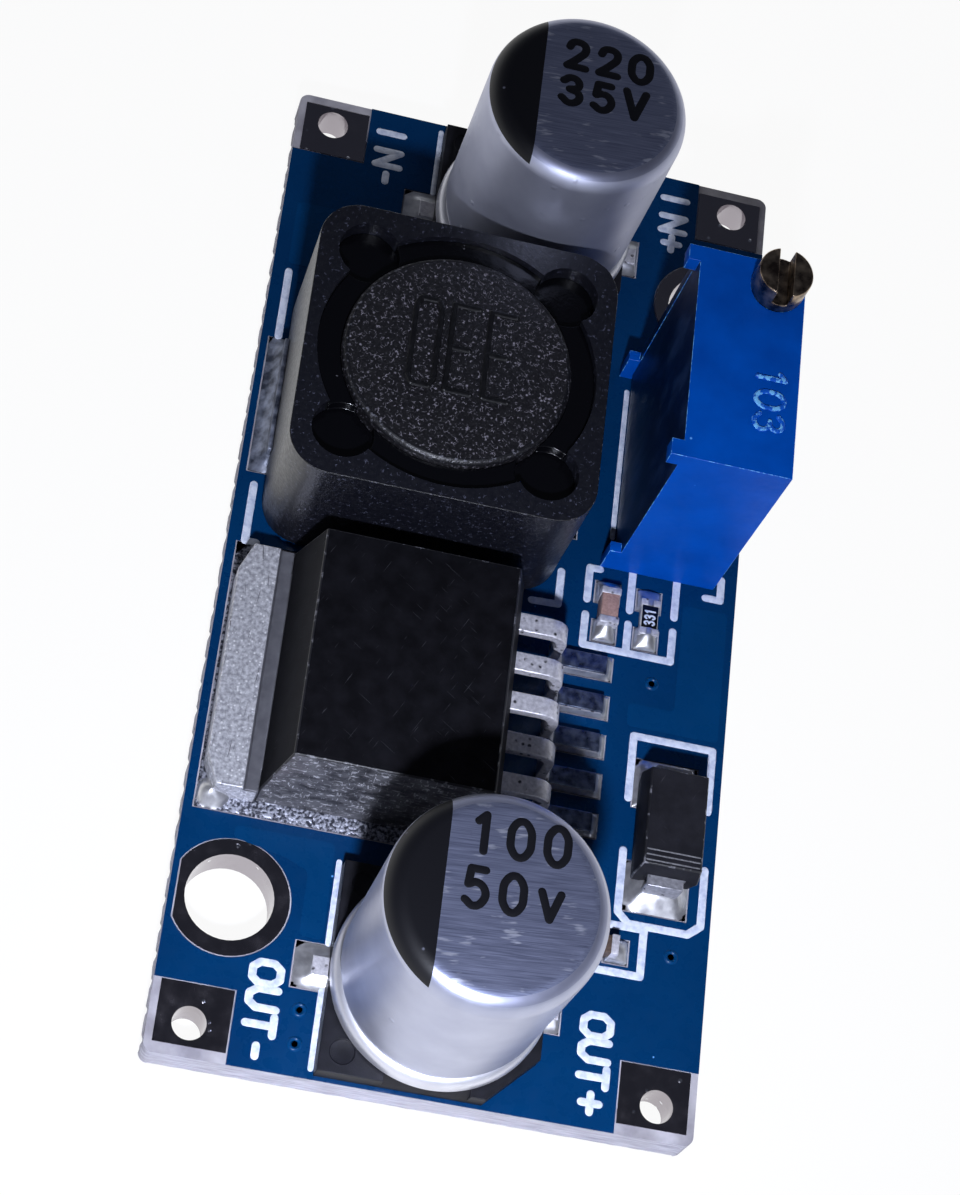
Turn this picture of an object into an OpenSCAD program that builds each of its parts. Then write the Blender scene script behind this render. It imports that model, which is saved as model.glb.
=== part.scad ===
// Adjustable boost converter module: a small blue circuit board that carries two
// surface-mount electrolytic capacitors, a shielded inductor, a five-lead converter,
// a rectifier diode, three chip parts and a multi-turn trimmer.
// Millimetres. +Z is up from the board, +Y points to the input end and +X to the
// positive side. The origin is the centre of the board's underside.

$fn = 64;

/* [Board] */
// Length of the board, along Y
board_l = 43; // [43:0.5:60]
// Width of the board, along X
board_w = 21; // [21:0.5:30]
// Thickness of the bare laminate
laminate_t = 1.5; // [0.8:0.1:2.4]
// Thickness of the solder mask, and of the copper lands that lie level with it
film_t = 0.05; // [0.03:0.01:0.1]
// Corner radius of the board
board_r = 0.4; // [0.1:0.1:1]
// Gap between a copper land and the solder mask around it
mask_gap = 0.06; // [0.03:0.01:0.15]
// Wall of the plating in a drilled hole
plating_t = 0.1; // [0.05:0.01:0.2]

/* [Mounting holes] */
// Clear diameter of a mounting hole
mount_d = 3.4; // [2.6:0.1:3.6]
// Diameter of the copper ring around a mounting hole
mount_ring_d = 4.6; // [4.2:0.1:5]
// Hole centre to the long edge of the board
mount_edge_x = 2.3; // [2.1:0.1:4]
// Hole centre to the short edge of the board
mount_edge_y = 6.4; // [6:0.1:8]
// Strip of mask between a copper ring and the long edge of the board
ring_edge = 0.3; // [0.2:0.05:0.5]

/* [Wire terminals] */
// Clear diameter of a terminal hole
terminal_d = 1.3; // [1:0.1:1.6]
// Terminal hole centre to the long edge of the board
terminal_edge_x = 1.55; // [1.3:0.05:2]
// Terminal hole centre to the short edge of the board
terminal_edge_y = 1.3; // [1.2:0.05:2]
// Size of a terminal pad along X
terminal_w = 2.75; // [2.2:0.05:3]
// Size of a terminal pad along Y
terminal_l = 2.4; // [2.2:0.05:3]
// Pad edge to the long edge of the board
terminal_margin_x = 0.3; // [0.2:0.05:0.6]
// Pad edge to the short edge of the board, where the laminate is bare
terminal_margin_y = 0.42; // [0.2:0.02:0.6]

/* [Electrolytic capacitors] */
// Diameter of an aluminium can
can_d = 8.2; // [6.3:0.1:8.3]
// Height of a capacitor above the board
cap_h = 10.5; // [8:0.1:13]
// Side of the square plastic base
cap_base_w = 8.3; // [8:0.1:8.8]
// Thickness of the plastic base
cap_base_h = 0.8; // [0.6:0.1:1.2]
// Chamfer on the two corners at the positive side of the base
cap_chamfer = 1.9; // [1.5:0.1:2.6]
// Slope along the middle of the base's two long edges, seen from above
cap_slope_w = 0.3; // [0.1:0.05:0.5]
// Height of that slope
cap_slope_h = 0.55; // [0.2:0.05:0.6]
// Length of that slope
cap_slope_l = 3.3; // [2:0.1:3.6]
// Diameter of the ejector marks on the base's square corners
ejector_d = 0.95; // [0.6:0.05:1]
// Depth of an ejector mark
ejector_depth = 0.06; // [0.03:0.01:0.1]
// Ejector mark's centre to the edges of the base
ejector_edge = 0.85; // [0.75:0.05:0.9]
// Radius on the top edge of a can
can_top_r = 0.7; // [0.3:0.05:1]
// Radius of the crimp groove's section
crimp_r = 0.5; // [0.3:0.05:0.8]
// Depth of the crimp groove in the can's wall
crimp_depth = 0.22; // [0.1:0.02:0.3]
// Height of the crimp groove above the base
crimp_z = 1.15; // [0.9:0.05:1.6]
// Width of a capacitor lead
cap_lead_w = 0.8; // [0.6:0.05:1]
// Thickness of a capacitor lead
cap_lead_t = 0.25; // [0.2:0.05:0.4]
// Length that a lead stands out past the base
cap_lead_out = 0.65; // [0.5:0.05:0.9]
// Distance between the two lead risers, centre to centre
cap_lead_pitch = 3.1; // [2.5:0.1:4]
// Length of a capacitor's land under the base
cap_land_in = 1; // [0.5:0.1:1.5]
// Length of a land past the lead on the negative side
cap_toe_neg = 0.65; // [0.4:0.05:0.8]
// Length of a land past the lead on the positive side
cap_toe_pos = 0.1; // [0.1:0.05:0.8]

/* [Inductor] */
// Side of the square shield
inductor_w = 12.2; // [11:0.1:12.6]
// Height of the shield's rim above the board
inductor_h = 6.5; // [4.5:0.1:8]
// Outer corner radius of the shield
shield_r = 1.7; // [1:0.1:2.5]
// Wall of the shield at the middle of a side
shield_wall = 0.5; // [0.4:0.05:0.6]
// Diameter of the round pockets in the shield's corners
pocket_d = 2.5; // [2:0.1:2.8]
// Centre of a pocket to the sides of the shield
pocket_edge = 2.05; // [1.9:0.05:2.2]
// Depth of the resin in a pocket below the resin round the drum
pocket_drop = 0.4; // [0.1:0.05:0.6]
// Diameter of the drum core's flanges
drum_d = 9.2; // [8.5:0.1:9.8]
// Diameter of the drum core's post
drum_post_d = 5; // [4:0.1:6]
// Thickness of a drum flange
drum_flange_t = 1.2; // [0.8:0.1:1.6]
// Height that the drum stands above the shield's rim
drum_proud = 0.12; // [0.05:0.01:0.3]
// Chamfer on the drum's top edge
drum_chamfer = 0.15; // [0.05:0.05:0.3]
// Thickness of the winding on the post
winding_t = 1.85; // [1.4:0.05:2]
// Thickness of the resin between drum and shield
filler_t = 1.1; // [0.6:0.1:1.6]
// Depth of the resin's surface below the rim
filler_drop = 0.3; // [0.1:0.05:0.5]
// Thickness of a terminal clip
clip_t = 0.2; // [0.15:0.05:0.3]
// Width of a terminal clip
clip_w = 5.2; // [3:0.1:7]
// Length of a terminal clip under the shield
clip_l = 3; // [2:0.1:3.8]
// Height of the clip's lip on the side of the shield
clip_lip = 1.1; // [0.6:0.1:2]
// Inductor to the base of the input capacitor
inductor_gap = 0.6; // [0.5:0.05:1]
// Shield to the long edge of the board
inductor_edge = 1.1; // [0.9:0.05:2]

/* [Converter] */
// Width of the moulded body, along Y
ic_w = 10.16; // [9.6:0.02:10.6]
// Length of the moulded body at its widest, along X
ic_l = 8.95; // [8.4:0.05:9.4]
// Height of the moulded body
ic_h = 4.5; // [4:0.1:4.8]
// Lean of the two long sides, from foot to top
ic_side_lean = 0.32; // [0.1:0.02:0.5]
// Lean of the side above the tab
ic_tab_lean = 0.72; // [0.3:0.02:1]
// Lean of the side above the leads
ic_lead_lean = 0.53; // [0.2:0.01:0.8]
// Lean of the side below the leads
ic_foot_lean = 0.3; // [0.1:0.02:0.5]
// Thickness of the metal tab
tab_t = 1.27; // [1:0.01:1.4]
// Width of the metal tab
tab_w = 10.3; // [9.8:0.05:10.8]
// Length of the tab outside the body
tab_l = 2.13; // [1.2:0.01:2.4]
// Width of the tab's plate inside the body
slug_w = 8.4; // [7:0.1:9]
// Length of the tab's plate inside the body
slug_l = 7; // [5:0.1:7.5]
// Chamfer on the tab's corners, along X
tab_chamfer_x = 0.5; // [0.3:0.05:0.8]
// Chamfer on the tab's corners, along Y
tab_chamfer_y = 1.2; // [0.6:0.1:1.6]
// Width of the coined step where the tab meets the body
tab_step_w = 0.55; // [0.3:0.05:0.8]
// Depth of that step
tab_step_d = 0.15; // [0.05:0.05:0.3]
// Distance between leads
lead_pitch = 1.7; // [1.6:0.01:1.8]
// Width of a lead
lead_w = 0.8; // [0.6:0.02:0.9]
// Thickness of a lead
lead_t = 0.42; // [0.3:0.02:0.5]
// Height of a lead's top where it leaves the body
lead_z = 2.7; // [2.4:0.05:3]
// Reach of a lead's shoulder outside the body
lead_reach = 2.1; // [1.6:0.05:2.4]
// Length of a lead's foot past its shoulder
lead_foot = 2.1; // [1.5:0.05:2.4]
// Inner radius of a lead's bends
lead_r = 0.4; // [0.3:0.05:0.6]
// Depth of a lead inside the body
lead_root = 0.6; // [0.4:0.05:1]
// Converter's tab to the inductor
ic_gap = 0.85; // [0.7:0.05:1.5]
// Converter's tab to the base of the output capacitor
output_gap = 1.85; // [0.8:0.05:2.5]
// Offset of the row of parts from the middle of the board, towards the output end
row_shift = 0.15; // [0:0.05:0.3]
// Tab to the long edge of the board
ic_edge = 0.52; // [0.4:0.02:1]

/* [Diode] */
// Length of the diode's body, along Y
diode_l = 4.3; // [4:0.05:4.6]
// Width of the diode's body
diode_w = 2.6; // [2.4:0.05:2.9]
// Height of the diode's top above the board
diode_h = 2.25; // [2:0.05:2.6]
// Height of the body's underside above the board
diode_lift = 0.3; // [0.25:0.05:0.4]
// Lean of the body's sides, from the parting line
diode_lean = 0.14; // [0.05:0.01:0.2]
// Width of a diode lead
diode_lead_w = 1.45; // [1.2:0.05:1.7]
// Thickness of a diode lead
diode_lead_t = 0.2; // [0.15:0.01:0.24]
// Reach of a diode lead past the body
diode_lead_out = 0.4; // [0.3:0.05:0.6]
// Length of a diode lead's foot under the body
diode_foot = 1.3; // [0.8:0.05:1.5]
// Diode's body to the long edge of the board
diode_edge = 1; // [0.8:0.05:2]
// Distance of the diode's middle below the board's middle
diode_y = 9.45; // [9:0.05:10]

/* [Chip parts] */
// Length of a chip part
chip_l = 1.6; // [1.4:0.05:1.7]
// Width of a chip part
chip_w = 0.8; // [0.7:0.05:0.9]
// Height of a chip capacitor
chip_cap_h = 0.8; // [0.6:0.05:0.9]
// Height of a chip resistor
chip_res_h = 0.45; // [0.35:0.05:0.6]
// Length of a chip's end metal
chip_end_l = 0.3; // [0.2:0.05:0.4]
// Thickness of a chip's end metal
chip_end_t = 0.04; // [0.02:0.01:0.06]
// Thickness of the dark glaze on the resistor
chip_glaze_t = 0.03; // [0.02:0.01:0.04]
// Distance between the two chips in front of the trimmer
chip_pitch = 1.75; // [1.7:0.05:2]
// Chip pair's middle to the trimmer's open side
chip_inset = 0.83; // [0.8:0.01:1]
// Chip pair's middle to the trimmer's front
chip_gap = 2.03; // [1.9:0.01:2.2]
// Side chip's middle to the base of the output capacitor
chip_side_gap = 1.8; // [1.7:0.05:2.2]
// Side chip's distance from the capacitor's middle, along Y
chip_side_y = 2.8; // [2.5:0.05:3.2]

/* [Trimmer] */
// Width of the trimmer over its corner nubs, along X
trim_w = 4.83; // [4.6:0.01:5.1]
// Length of the trimmer, along Y
trim_l = 9.53; // [9.3:0.01:9.9]
// Height of the trimmer's housing
trim_h = 10.03; // [9.8:0.01:10.6]
// Trimmer to the long edge of the board
trim_edge = 1; // [0.8:0.05:2]
// Distance of the trimmer's middle above the board's middle
trim_y = 6.65; // [6.4:0.05:7]
// Wall of the housing
trim_wall = 0.45; // [0.35:0.05:0.5]
// Thickness of the housing's top
trim_top = 1.2; // [1.1:0.05:1.5]
// Thickness of the housing's floor
trim_floor = 0.6; // [0.4:0.05:0.8]
// Reach of the corner nubs past the open side
nub_out = 0.47; // [0.3:0.01:0.6]
// Length of a corner nub, along Y
nub_l = 0.7; // [0.5:0.05:1]
// Height of the upper nubs
nub_top_h = 0.75; // [0.5:0.05:1]
// Height of the lower nubs
nub_foot_h = 1.5; // [1:0.05:2]
// Depth of the sealing resin's face inside the open side
resin_drop = 0.16; // [0.1:0.02:0.3]
// Thickness of the sealing resin
resin_t = 0.75; // [0.65:0.05:0.9]
// Thickness of the ceramic resistance element
element_t = 0.5; // [0.4:0.05:0.6]
// Diameter of a trimmer pin
pin_d = 0.5; // [0.4:0.02:0.6]
// Distance between trimmer pins
pin_pitch = 2.54; // [2.5:0.01:2.6]
// Length of a pin below the board
pin_tail = 0.6; // [0.4:0.05:1]
// Length of a pin inside the resin
pin_root = 2.5; // [1.5:0.1:4]
// Diameter of the adjusting screw's head
screw_head_d = 2.19; // [2:0.01:2.2]
// Height of the screw's head above the housing
screw_head_h = 1.3; // [1:0.05:1.6]
// Diameter of the screw's shaft
screw_d = 1.3; // [1.1:0.05:1.4]
// Gap between the screw's shaft and the housing's walls
screw_wall_gap = 0.1; // [0.05:0.01:0.2]
// Width of the screwdriver slot
slot_w = 0.6; // [0.5:0.02:0.8]
// Depth of the screwdriver slot
slot_d = 0.76; // [0.5:0.02:1]
// Running clearance around the screw
screw_clear = 0.05; // [0.03:0.01:0.08]
// Thickness of the rubber seal ring's cord
seal_t = 0.3; // [0.2:0.01:0.36]
// Diameter of the screw's neck, where a clip holds it in the housing
neck_d = 0.9; // [0.7:0.05:1]
// Thickness of the clip on the screw's neck
clip_plate_t = 0.25; // [0.2:0.01:0.3]
// Reach of that clip past the screw's axis
clip_reach = 2.2; // [1.5:0.1:3]
// Height of the wiper carriage
carriage_h = 2; // [1.6:0.1:2.4]
// Length of the wiper carriage, along Y
carriage_l = 5.6; // [4.5:0.1:6.4]
// Sliding clearance of the carriage
carriage_clear = 0.1; // [0.06:0.01:0.15]
// Gap between carriage and element, where the wiper springs
wiper_gap = 0.3; // [0.25:0.01:0.4]
// Thickness of the wiper's spring strip
wiper_t = 0.1; // [0.08:0.01:0.15]

/* [Solder] */
// Length of a solder fillet on the board
fillet_l = 0.55; // [0.3:0.05:0.6]
// Share of a foot's height that the solder climbs
fillet_climb = 0.8; // [0.5:0.05:1]
// Margin of a land around the foot that is soldered to it
land_margin = 0.1; // [0.05:0.05:0.2]
// Drilled clearance around a trimmer pin
pin_clear = 0.2; // [0.15:0.01:0.3]
// Width of the copper ring around a trimmer pin
pin_ring = 0.4; // [0.3:0.05:0.5]
// Height of the solder cone on a trimmer pin
cone_h = 0.5; // [0.3:0.05:0.8]

/* [Hidden] */

// Levels of the board
board_t = laminate_t + 2 * film_t;
laminate_z = film_t;
mask_z = film_t + laminate_t;

// Hole places, from the edges of the board
mount_x = board_w / 2 - mount_edge_x;
mount_y = board_l / 2 - mount_edge_y;
terminal_x = board_w / 2 - terminal_edge_x;
terminal_y = board_l / 2 - terminal_edge_y;
terminal_pad_x = board_w / 2 - terminal_margin_x - terminal_w / 2;
terminal_pad_y = board_l / 2 - terminal_margin_y - terminal_l / 2;

// The row of parts along the middle of the board: input capacitor, inductor, converter
// and output capacitor follow each other from the input end
row_l = 2 * cap_base_w + inductor_gap + inductor_w + ic_gap + tab_w + output_gap;
cap_pitch = row_l - cap_base_w;
input_cap_y = cap_pitch / 2 - row_shift;
output_cap_y = input_cap_y - cap_pitch;
inductor_x = -board_w / 2 + inductor_edge + inductor_w / 2;
inductor_y = input_cap_y - cap_base_w / 2 - inductor_gap - inductor_w / 2;
ic_y = inductor_y - inductor_w / 2 - ic_gap - tab_w / 2;
tab_x = -board_w / 2 + ic_edge;
ic_x = tab_x + tab_l;
toe_x = ic_x + ic_l + lead_reach + lead_foot;
diode_x = board_w / 2 - diode_edge - diode_w / 2;
diode_span = diode_l + 2 * diode_lead_out;
side_chip_x = cap_base_w / 2 + chip_side_gap;
side_chip_y = output_cap_y + chip_side_y;

// The trimmer's faces
trim_x1 = board_w / 2 - trim_edge;
trim_x0 = trim_x1 - (trim_w - nub_out);
trim_y0 = trim_y - trim_l / 2;
trim_y1 = trim_y + trim_l / 2;
trim_z0 = board_t;
trim_z1 = board_t + trim_h;
resin_x = trim_x0 + resin_drop;
element_x = resin_x + resin_t;
cavity_x0 = element_x + element_t;
cavity_x1 = trim_x1 - trim_wall;
cavity_y0 = trim_y0 + trim_wall;
cavity_y1 = trim_y1 - trim_wall;
cavity_z0 = trim_z0 + trim_floor;
cavity_z1 = trim_z1 - trim_top;
pin_x = element_x - pin_d / 2;
pin_places = [for (i = [-1:1]) trim_y + i * pin_pitch];
screw_inset = trim_wall + screw_wall_gap + screw_d / 2;
screw_x = trim_x1 - screw_inset;
screw_y = trim_y1 - screw_inset;
seal_z = trim_z1 - seal_t - screw_clear;
seal_bore_d = screw_d + 2 * seal_t + 4 * screw_clear;
shoulder_z = trim_z1 + screw_clear;
carriage_x0 = cavity_x0 + wiper_gap;
plate_z = cavity_z1 - clip_plate_t;
carriage_z = (cavity_z0 + plate_z - carriage_h) / 2;

// The chip pair in front of the trimmer
chip_y = trim_y0 - chip_gap;
chip_mid_x = trim_x0 + chip_inset;
chip_cap_x = chip_mid_x - chip_pitch / 2;
chip_res_x = chip_mid_x + chip_pitch / 2;

// Copper lands under the soldered feet: middle and size of each
cap_foot_x = cap_base_w / 2 + cap_lead_out;
cap_land_w = cap_lead_w + 2 * fillet_l - land_margin;
clip_land_l = clip_l + clip_t + fillet_l;
lead_land_l = lead_foot - lead_r + fillet_l / 2;
diode_land_l = diode_foot + fillet_l + 2 * land_margin;
chip_land_l = chip_end_l + fillet_l + land_margin;
chip_land_x = chip_l / 2 - chip_end_l - land_margin + chip_land_l / 2;
lands = concat(
    [for (s = [-1, 1], y = [input_cap_y, output_cap_y])
        let (toe = s < 0 ? cap_toe_neg : cap_toe_pos, l = cap_land_in + cap_lead_out + toe)
        [s * (cap_foot_x + toe - l / 2), y, l, cap_land_w]],
    [for (s = [-1, 1])
        [inductor_x + s * (inductor_w / 2 + clip_t + fillet_l - clip_land_l / 2), inductor_y,
            clip_land_l, clip_w + 2 * fillet_l]],
    [[tab_x + (tab_l + slug_l) / 2, ic_y,
        tab_l + slug_l + 2 * land_margin, tab_w + 2 * fillet_l]],
    [for (i = [-2:2])
        [toe_x + fillet_l / 2 - lead_land_l / 2, ic_y + i * lead_pitch,
            lead_land_l, lead_w + 2 * land_margin]],
    [for (s = [-1, 1])
        [diode_x, -diode_y + s * (diode_span / 2 + fillet_l + land_margin - diode_land_l / 2),
            diode_lead_w + 2 * fillet_l, diode_land_l]],
    [for (x = [chip_cap_x, chip_res_x], s = [-1, 1])
        [x, chip_y + s * chip_land_x, chip_w + 2 * land_margin, chip_land_l]],
    [for (s = [-1, 1])
        [side_chip_x + s * chip_land_x, side_chip_y, chip_land_l, chip_w + 2 * land_margin]]);

// Shapes used more than once

module rounded_rect(w, l, r) {
    square([w - 2 * r, l], center = true);
    square([w, l - 2 * r], center = true);
    for (sx = [-1, 1], sy = [-1, 1])
        translate([sx * (w / 2 - r), sy * (l / 2 - r)]) circle(r);
}

module board_outline() rounded_rect(board_w, board_l, board_r);

// One of the two diagonal mounting holes: side 1 is at the input end
module at_mount(side) translate([side * mount_x, side * mount_y]) children();

module ring_outline(side, grow) {
    intersection() {
        at_mount(side) circle(d = mount_ring_d + 2 * grow);
        square([board_w - 2 * ring_edge + 2 * grow, board_l], center = true);
    }
}

module land_outlines(grow) {
    for (p = lands)
        translate([p[0], p[1]]) square([p[2] + 2 * grow, p[3] + 2 * grow], center = true);
}

// The four board corners, where the mask stops short of the terminal pads
module corner_openings() {
    wide = board_w / 2 - terminal_pad_x + terminal_w / 2 + mask_gap;
    long = board_l / 2 - terminal_pad_y + terminal_l / 2 + mask_gap;
    for (sx = [-1, 1], sy = [-1, 1])
        translate([sx * (board_w / 2 - wide / 2 + board_r), sy * (board_l / 2 - long / 2 + board_r)])
            square([wide + 2 * board_r, long + 2 * board_r], center = true);
}

module pin_rings(grow) {
    for (y = pin_places)
        translate([pin_x, y]) circle(d = pin_d + 2 * (pin_clear + pin_ring + grow));
}

module terminal(sx, sy) {
    color("#c9ccd2") difference() {
        union() {
            for (z = [0, mask_z])
                translate([sx * terminal_pad_x, sy * terminal_pad_y, z + film_t / 2])
                    cube([terminal_w, terminal_l, film_t], center = true);
            translate([sx * terminal_x, sy * terminal_y, laminate_z])
                cylinder(d = terminal_d + 2 * plating_t, h = laminate_t);
        }
        translate([sx * terminal_x, sy * terminal_y, -1]) cylinder(d = terminal_d, h = board_t + 2);
    }
}

module mounting_ring(side) {
    color("#b9bcc4") difference() {
        union() {
            for (z = [0, mask_z])
                translate([0, 0, z]) linear_extrude(film_t) ring_outline(side, 0);
            translate([0, 0, laminate_z]) linear_extrude(laminate_t)
                at_mount(side) circle(d = mount_d + 2 * plating_t);
        }
        translate([0, 0, -1]) linear_extrude(board_t + 2) at_mount(side) circle(d = mount_d);
    }
}

// Board

module board_laminate() {
    color("#d9d2bd") translate([0, 0, laminate_z]) linear_extrude(laminate_t) difference() {
        board_outline();
        for (s = [-1, 1]) at_mount(s) circle(d = mount_d + 2 * plating_t);
        for (sx = [-1, 1], sy = [-1, 1])
            translate([sx * terminal_x, sy * terminal_y]) circle(d = terminal_d + 2 * plating_t);
        for (y = pin_places) translate([pin_x, y]) circle(d = pin_d + 2 * pin_clear);
    }
}

module solder_mask_top() {
    color("#0a4a8c") translate([0, 0, mask_z]) linear_extrude(film_t) difference() {
        board_outline();
        corner_openings();
        for (s = [-1, 1]) ring_outline(s, mask_gap);
        land_outlines(mask_gap);
        for (y = pin_places) translate([pin_x, y]) circle(d = pin_d + 2 * pin_clear);
    }
}

module solder_mask_bottom() {
    color("#0a4a8c") linear_extrude(film_t) difference() {
        board_outline();
        corner_openings();
        for (s = [-1, 1]) ring_outline(s, mask_gap);
        pin_rings(mask_gap);
    }
}

module component_lands() {
    color("#c9ccd2") {
        translate([0, 0, mask_z]) linear_extrude(film_t) difference() {
            land_outlines(0);
            for (s = [-1, 1]) ring_outline(s, 2 * mask_gap);
        }
        linear_extrude(film_t) difference() {
            pin_rings(0);
            for (y = pin_places) translate([pin_x, y]) circle(d = pin_d + 2 * pin_clear);
        }
    }
}

module mounting_ring_upper() mounting_ring(1);
module mounting_ring_lower() mounting_ring(-1);
module terminal_in_plus() terminal(1, 1);
module terminal_in_minus() terminal(-1, 1);
module terminal_out_plus() terminal(1, -1);
module terminal_out_minus() terminal(-1, -1);

// Electrolytic capacitors, drawn standing on the board's top at the origin

module cap_can() {
    h = cap_h - cap_base_h;
    r = can_d / 2;
    color("#c8ccd4") translate([0, 0, cap_base_h]) rotate_extrude() difference() {
        union() {
            square([r - can_top_r, h]);
            square([r, h - can_top_r]);
            translate([r - can_top_r, h - can_top_r]) circle(can_top_r);
        }
        translate([r + crimp_r - crimp_depth, crimp_z]) circle(crimp_r);
        translate([-2 * r, -1]) square([2 * r, h + 2]);
    }
}

module cap_lead_profile() {
    for (s = [-1, 1]) {
        reach = cap_foot_x - cap_lead_pitch / 2 + cap_lead_w / 2;
        translate([s * (cap_foot_x - reach / 2), 0, cap_lead_t / 2])
            cube([reach, cap_lead_w, cap_lead_t], center = true);
        translate([s * cap_lead_pitch / 2, 0, cap_base_h / 2])
            cube([cap_lead_w, cap_lead_w, cap_base_h], center = true);
    }
}

module cap_base() {
    w = cap_base_w / 2;
    c = cap_chamfer;
    color("#1c1c20") difference() {
        linear_extrude(cap_base_h)
            polygon([[-w, -w], [w - c, -w], [w, -w + c], [w, w - c], [w - c, w], [-w, w]]);
        cap_lead_profile();
        for (s = [-1, 1]) {
            translate([-w + ejector_edge, s * (w - ejector_edge), cap_base_h - ejector_depth])
                cylinder(d = ejector_d, h = cap_base_h);
            translate([-cap_slope_l / 2, 0, 0]) rotate([90, 0, 90]) linear_extrude(cap_slope_l)
                polygon([[s * (w - 2 * cap_slope_w), cap_base_h + cap_slope_h],
                    [s * (w + cap_slope_w), cap_base_h + cap_slope_h],
                    [s * (w + cap_slope_w), cap_base_h - 2 * cap_slope_h]]);
        }
    }
}

module cap_leads() color("#d3d3d0") cap_lead_profile();

module at_input_cap() translate([0, input_cap_y, board_t]) children();
module at_output_cap() translate([0, output_cap_y, board_t]) children();

module input_cap_can() at_input_cap() cap_can();
module input_cap_base() at_input_cap() cap_base();
module input_cap_leads() at_input_cap() cap_leads();
module output_cap_can() at_output_cap() cap_can();
module output_cap_base() at_output_cap() cap_base();
module output_cap_leads() at_output_cap() cap_leads();

// Inductor

drum_h = inductor_h - clip_t + drum_proud;
bore_d = inductor_w - 2 * shield_wall;
pocket_x = inductor_w / 2 - pocket_edge;

module at_inductor(z) translate([inductor_x, inductor_y, board_t + z]) children();

module corner_pockets() {
    for (sx = [-1, 1], sy = [-1, 1]) translate([sx * pocket_x, sy * pocket_x]) circle(d = pocket_d);
}

module inductor_shield() {
    color("#26262b") at_inductor(clip_t) linear_extrude(inductor_h - clip_t) difference() {
        rounded_rect(inductor_w, inductor_w, shield_r);
        circle(d = bore_d);
        corner_pockets();
    }
}

module inductor_drum() {
    r = drum_d / 2;
    color("#2d2d33") at_inductor(clip_t) rotate_extrude() polygon([
        [0, 0], [r, 0], [r, drum_flange_t], [drum_post_d / 2, drum_flange_t],
        [drum_post_d / 2, drum_h - drum_flange_t], [r, drum_h - drum_flange_t],
        [r, drum_h - drum_chamfer], [r - drum_chamfer, drum_h], [0, drum_h]]);
}

module inductor_winding() {
    color("#b5652b") at_inductor(clip_t + drum_flange_t) difference() {
        cylinder(d = drum_post_d + 2 * winding_t, h = drum_h - 2 * drum_flange_t);
        translate([0, 0, -1]) cylinder(d = drum_post_d, h = drum_h);
    }
}

module inductor_filler() {
    low = inductor_h - filler_drop - filler_t;
    color("#0c0c10") at_inductor(low) {
        linear_extrude(filler_t) difference() {
            circle(d = bore_d);
            circle(d = drum_d);
            corner_pockets();
        }
        linear_extrude(filler_t - pocket_drop) difference() {
            union() {
                circle(d = bore_d);
                corner_pockets();
            }
            circle(d = drum_d);
        }
    }
}

module inductor_clips() {
    color("#cfcfcc") at_inductor(0) for (s = [-1, 1]) {
        translate([s * (inductor_w / 2 + clip_t - (clip_l + clip_t) / 2), 0, clip_t / 2])
            cube([clip_l + clip_t, clip_w, clip_t], center = true);
        translate([s * (inductor_w / 2 + clip_t / 2), 0, clip_lip / 2])
            cube([clip_t, clip_w, clip_lip], center = true);
    }
}

// Converter, drawn with its body's tab side at X 0 and its middle at Y 0

module at_converter() translate([ic_x, ic_y, board_t]) children();

module converter_slug() {
    difference() {
        linear_extrude(tab_t) union() {
            polygon([
                [-tab_l + tab_chamfer_x, -tab_w / 2], [0, -tab_w / 2], [0, tab_w / 2],
                [-tab_l + tab_chamfer_x, tab_w / 2], [-tab_l, tab_w / 2 - tab_chamfer_y],
                [-tab_l, -tab_w / 2 + tab_chamfer_y]]);
            translate([-tab_step_w, -slug_w / 2]) square([slug_l + tab_step_w, slug_w]);
        }
        translate([-tab_step_w, -tab_w, tab_t - tab_step_d]) cube([tab_step_w, 2 * tab_w, tab_t]);
    }
}

// Side view of one lead, from inside the body to its toe
module lead_profile() {
    out = lead_r + lead_t;
    knee = ic_l + lead_reach;
    translate([ic_l - lead_root, lead_z - lead_t]) square([lead_root + lead_reach - out, lead_t]);
    intersection() {
        translate([knee - out, lead_z - out]) difference() {
            circle(out);
            circle(lead_r);
        }
        translate([knee - out, lead_z - out]) square(out);
    }
    translate([knee - lead_t, out]) square([lead_t, lead_z - 2 * out]);
    intersection() {
        translate([knee + lead_r, out]) difference() {
            circle(out);
            circle(lead_r);
        }
        translate([knee + lead_r - out, 0]) square(out);
    }
    translate([knee + lead_r, 0]) square([lead_foot - lead_r, lead_t]);
}

module converter_lead_set() {
    for (i = [-2:2])
        translate([0, i * lead_pitch + lead_w / 2, 0]) rotate([90, 0, 0])
            linear_extrude(lead_w) lead_profile();
}

module converter_body() {
    color("#17171a") at_converter() difference() {
        intersection() {
            translate([0, ic_w, 0]) rotate([90, 0, 0]) linear_extrude(2 * ic_w) polygon([
                [0, 0], [0, tab_t], [ic_tab_lean, ic_h], [ic_l - ic_lead_lean, ic_h],
                [ic_l, lead_z], [ic_l, lead_z - lead_t], [ic_l - ic_foot_lean, 0]]);
            rotate([90, 0, 90]) linear_extrude(ic_l) polygon([
                [-ic_w / 2, 0], [ic_w / 2, 0], [ic_w / 2, tab_t], [ic_w / 2 - ic_side_lean, ic_h],
                [-ic_w / 2 + ic_side_lean, ic_h], [-ic_w / 2, tab_t]]);
        }
        converter_slug();
        converter_lead_set();
    }
}

module converter_tab() color("#b9bbbd") at_converter() converter_slug();
module converter_leads() color("#cfd1d2") at_converter() converter_lead_set();

// Diode, drawn with its length along Y

module at_diode() translate([diode_x, -diode_y, board_t]) children();
diode_part_z = (diode_lift + diode_h) / 2;

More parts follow.
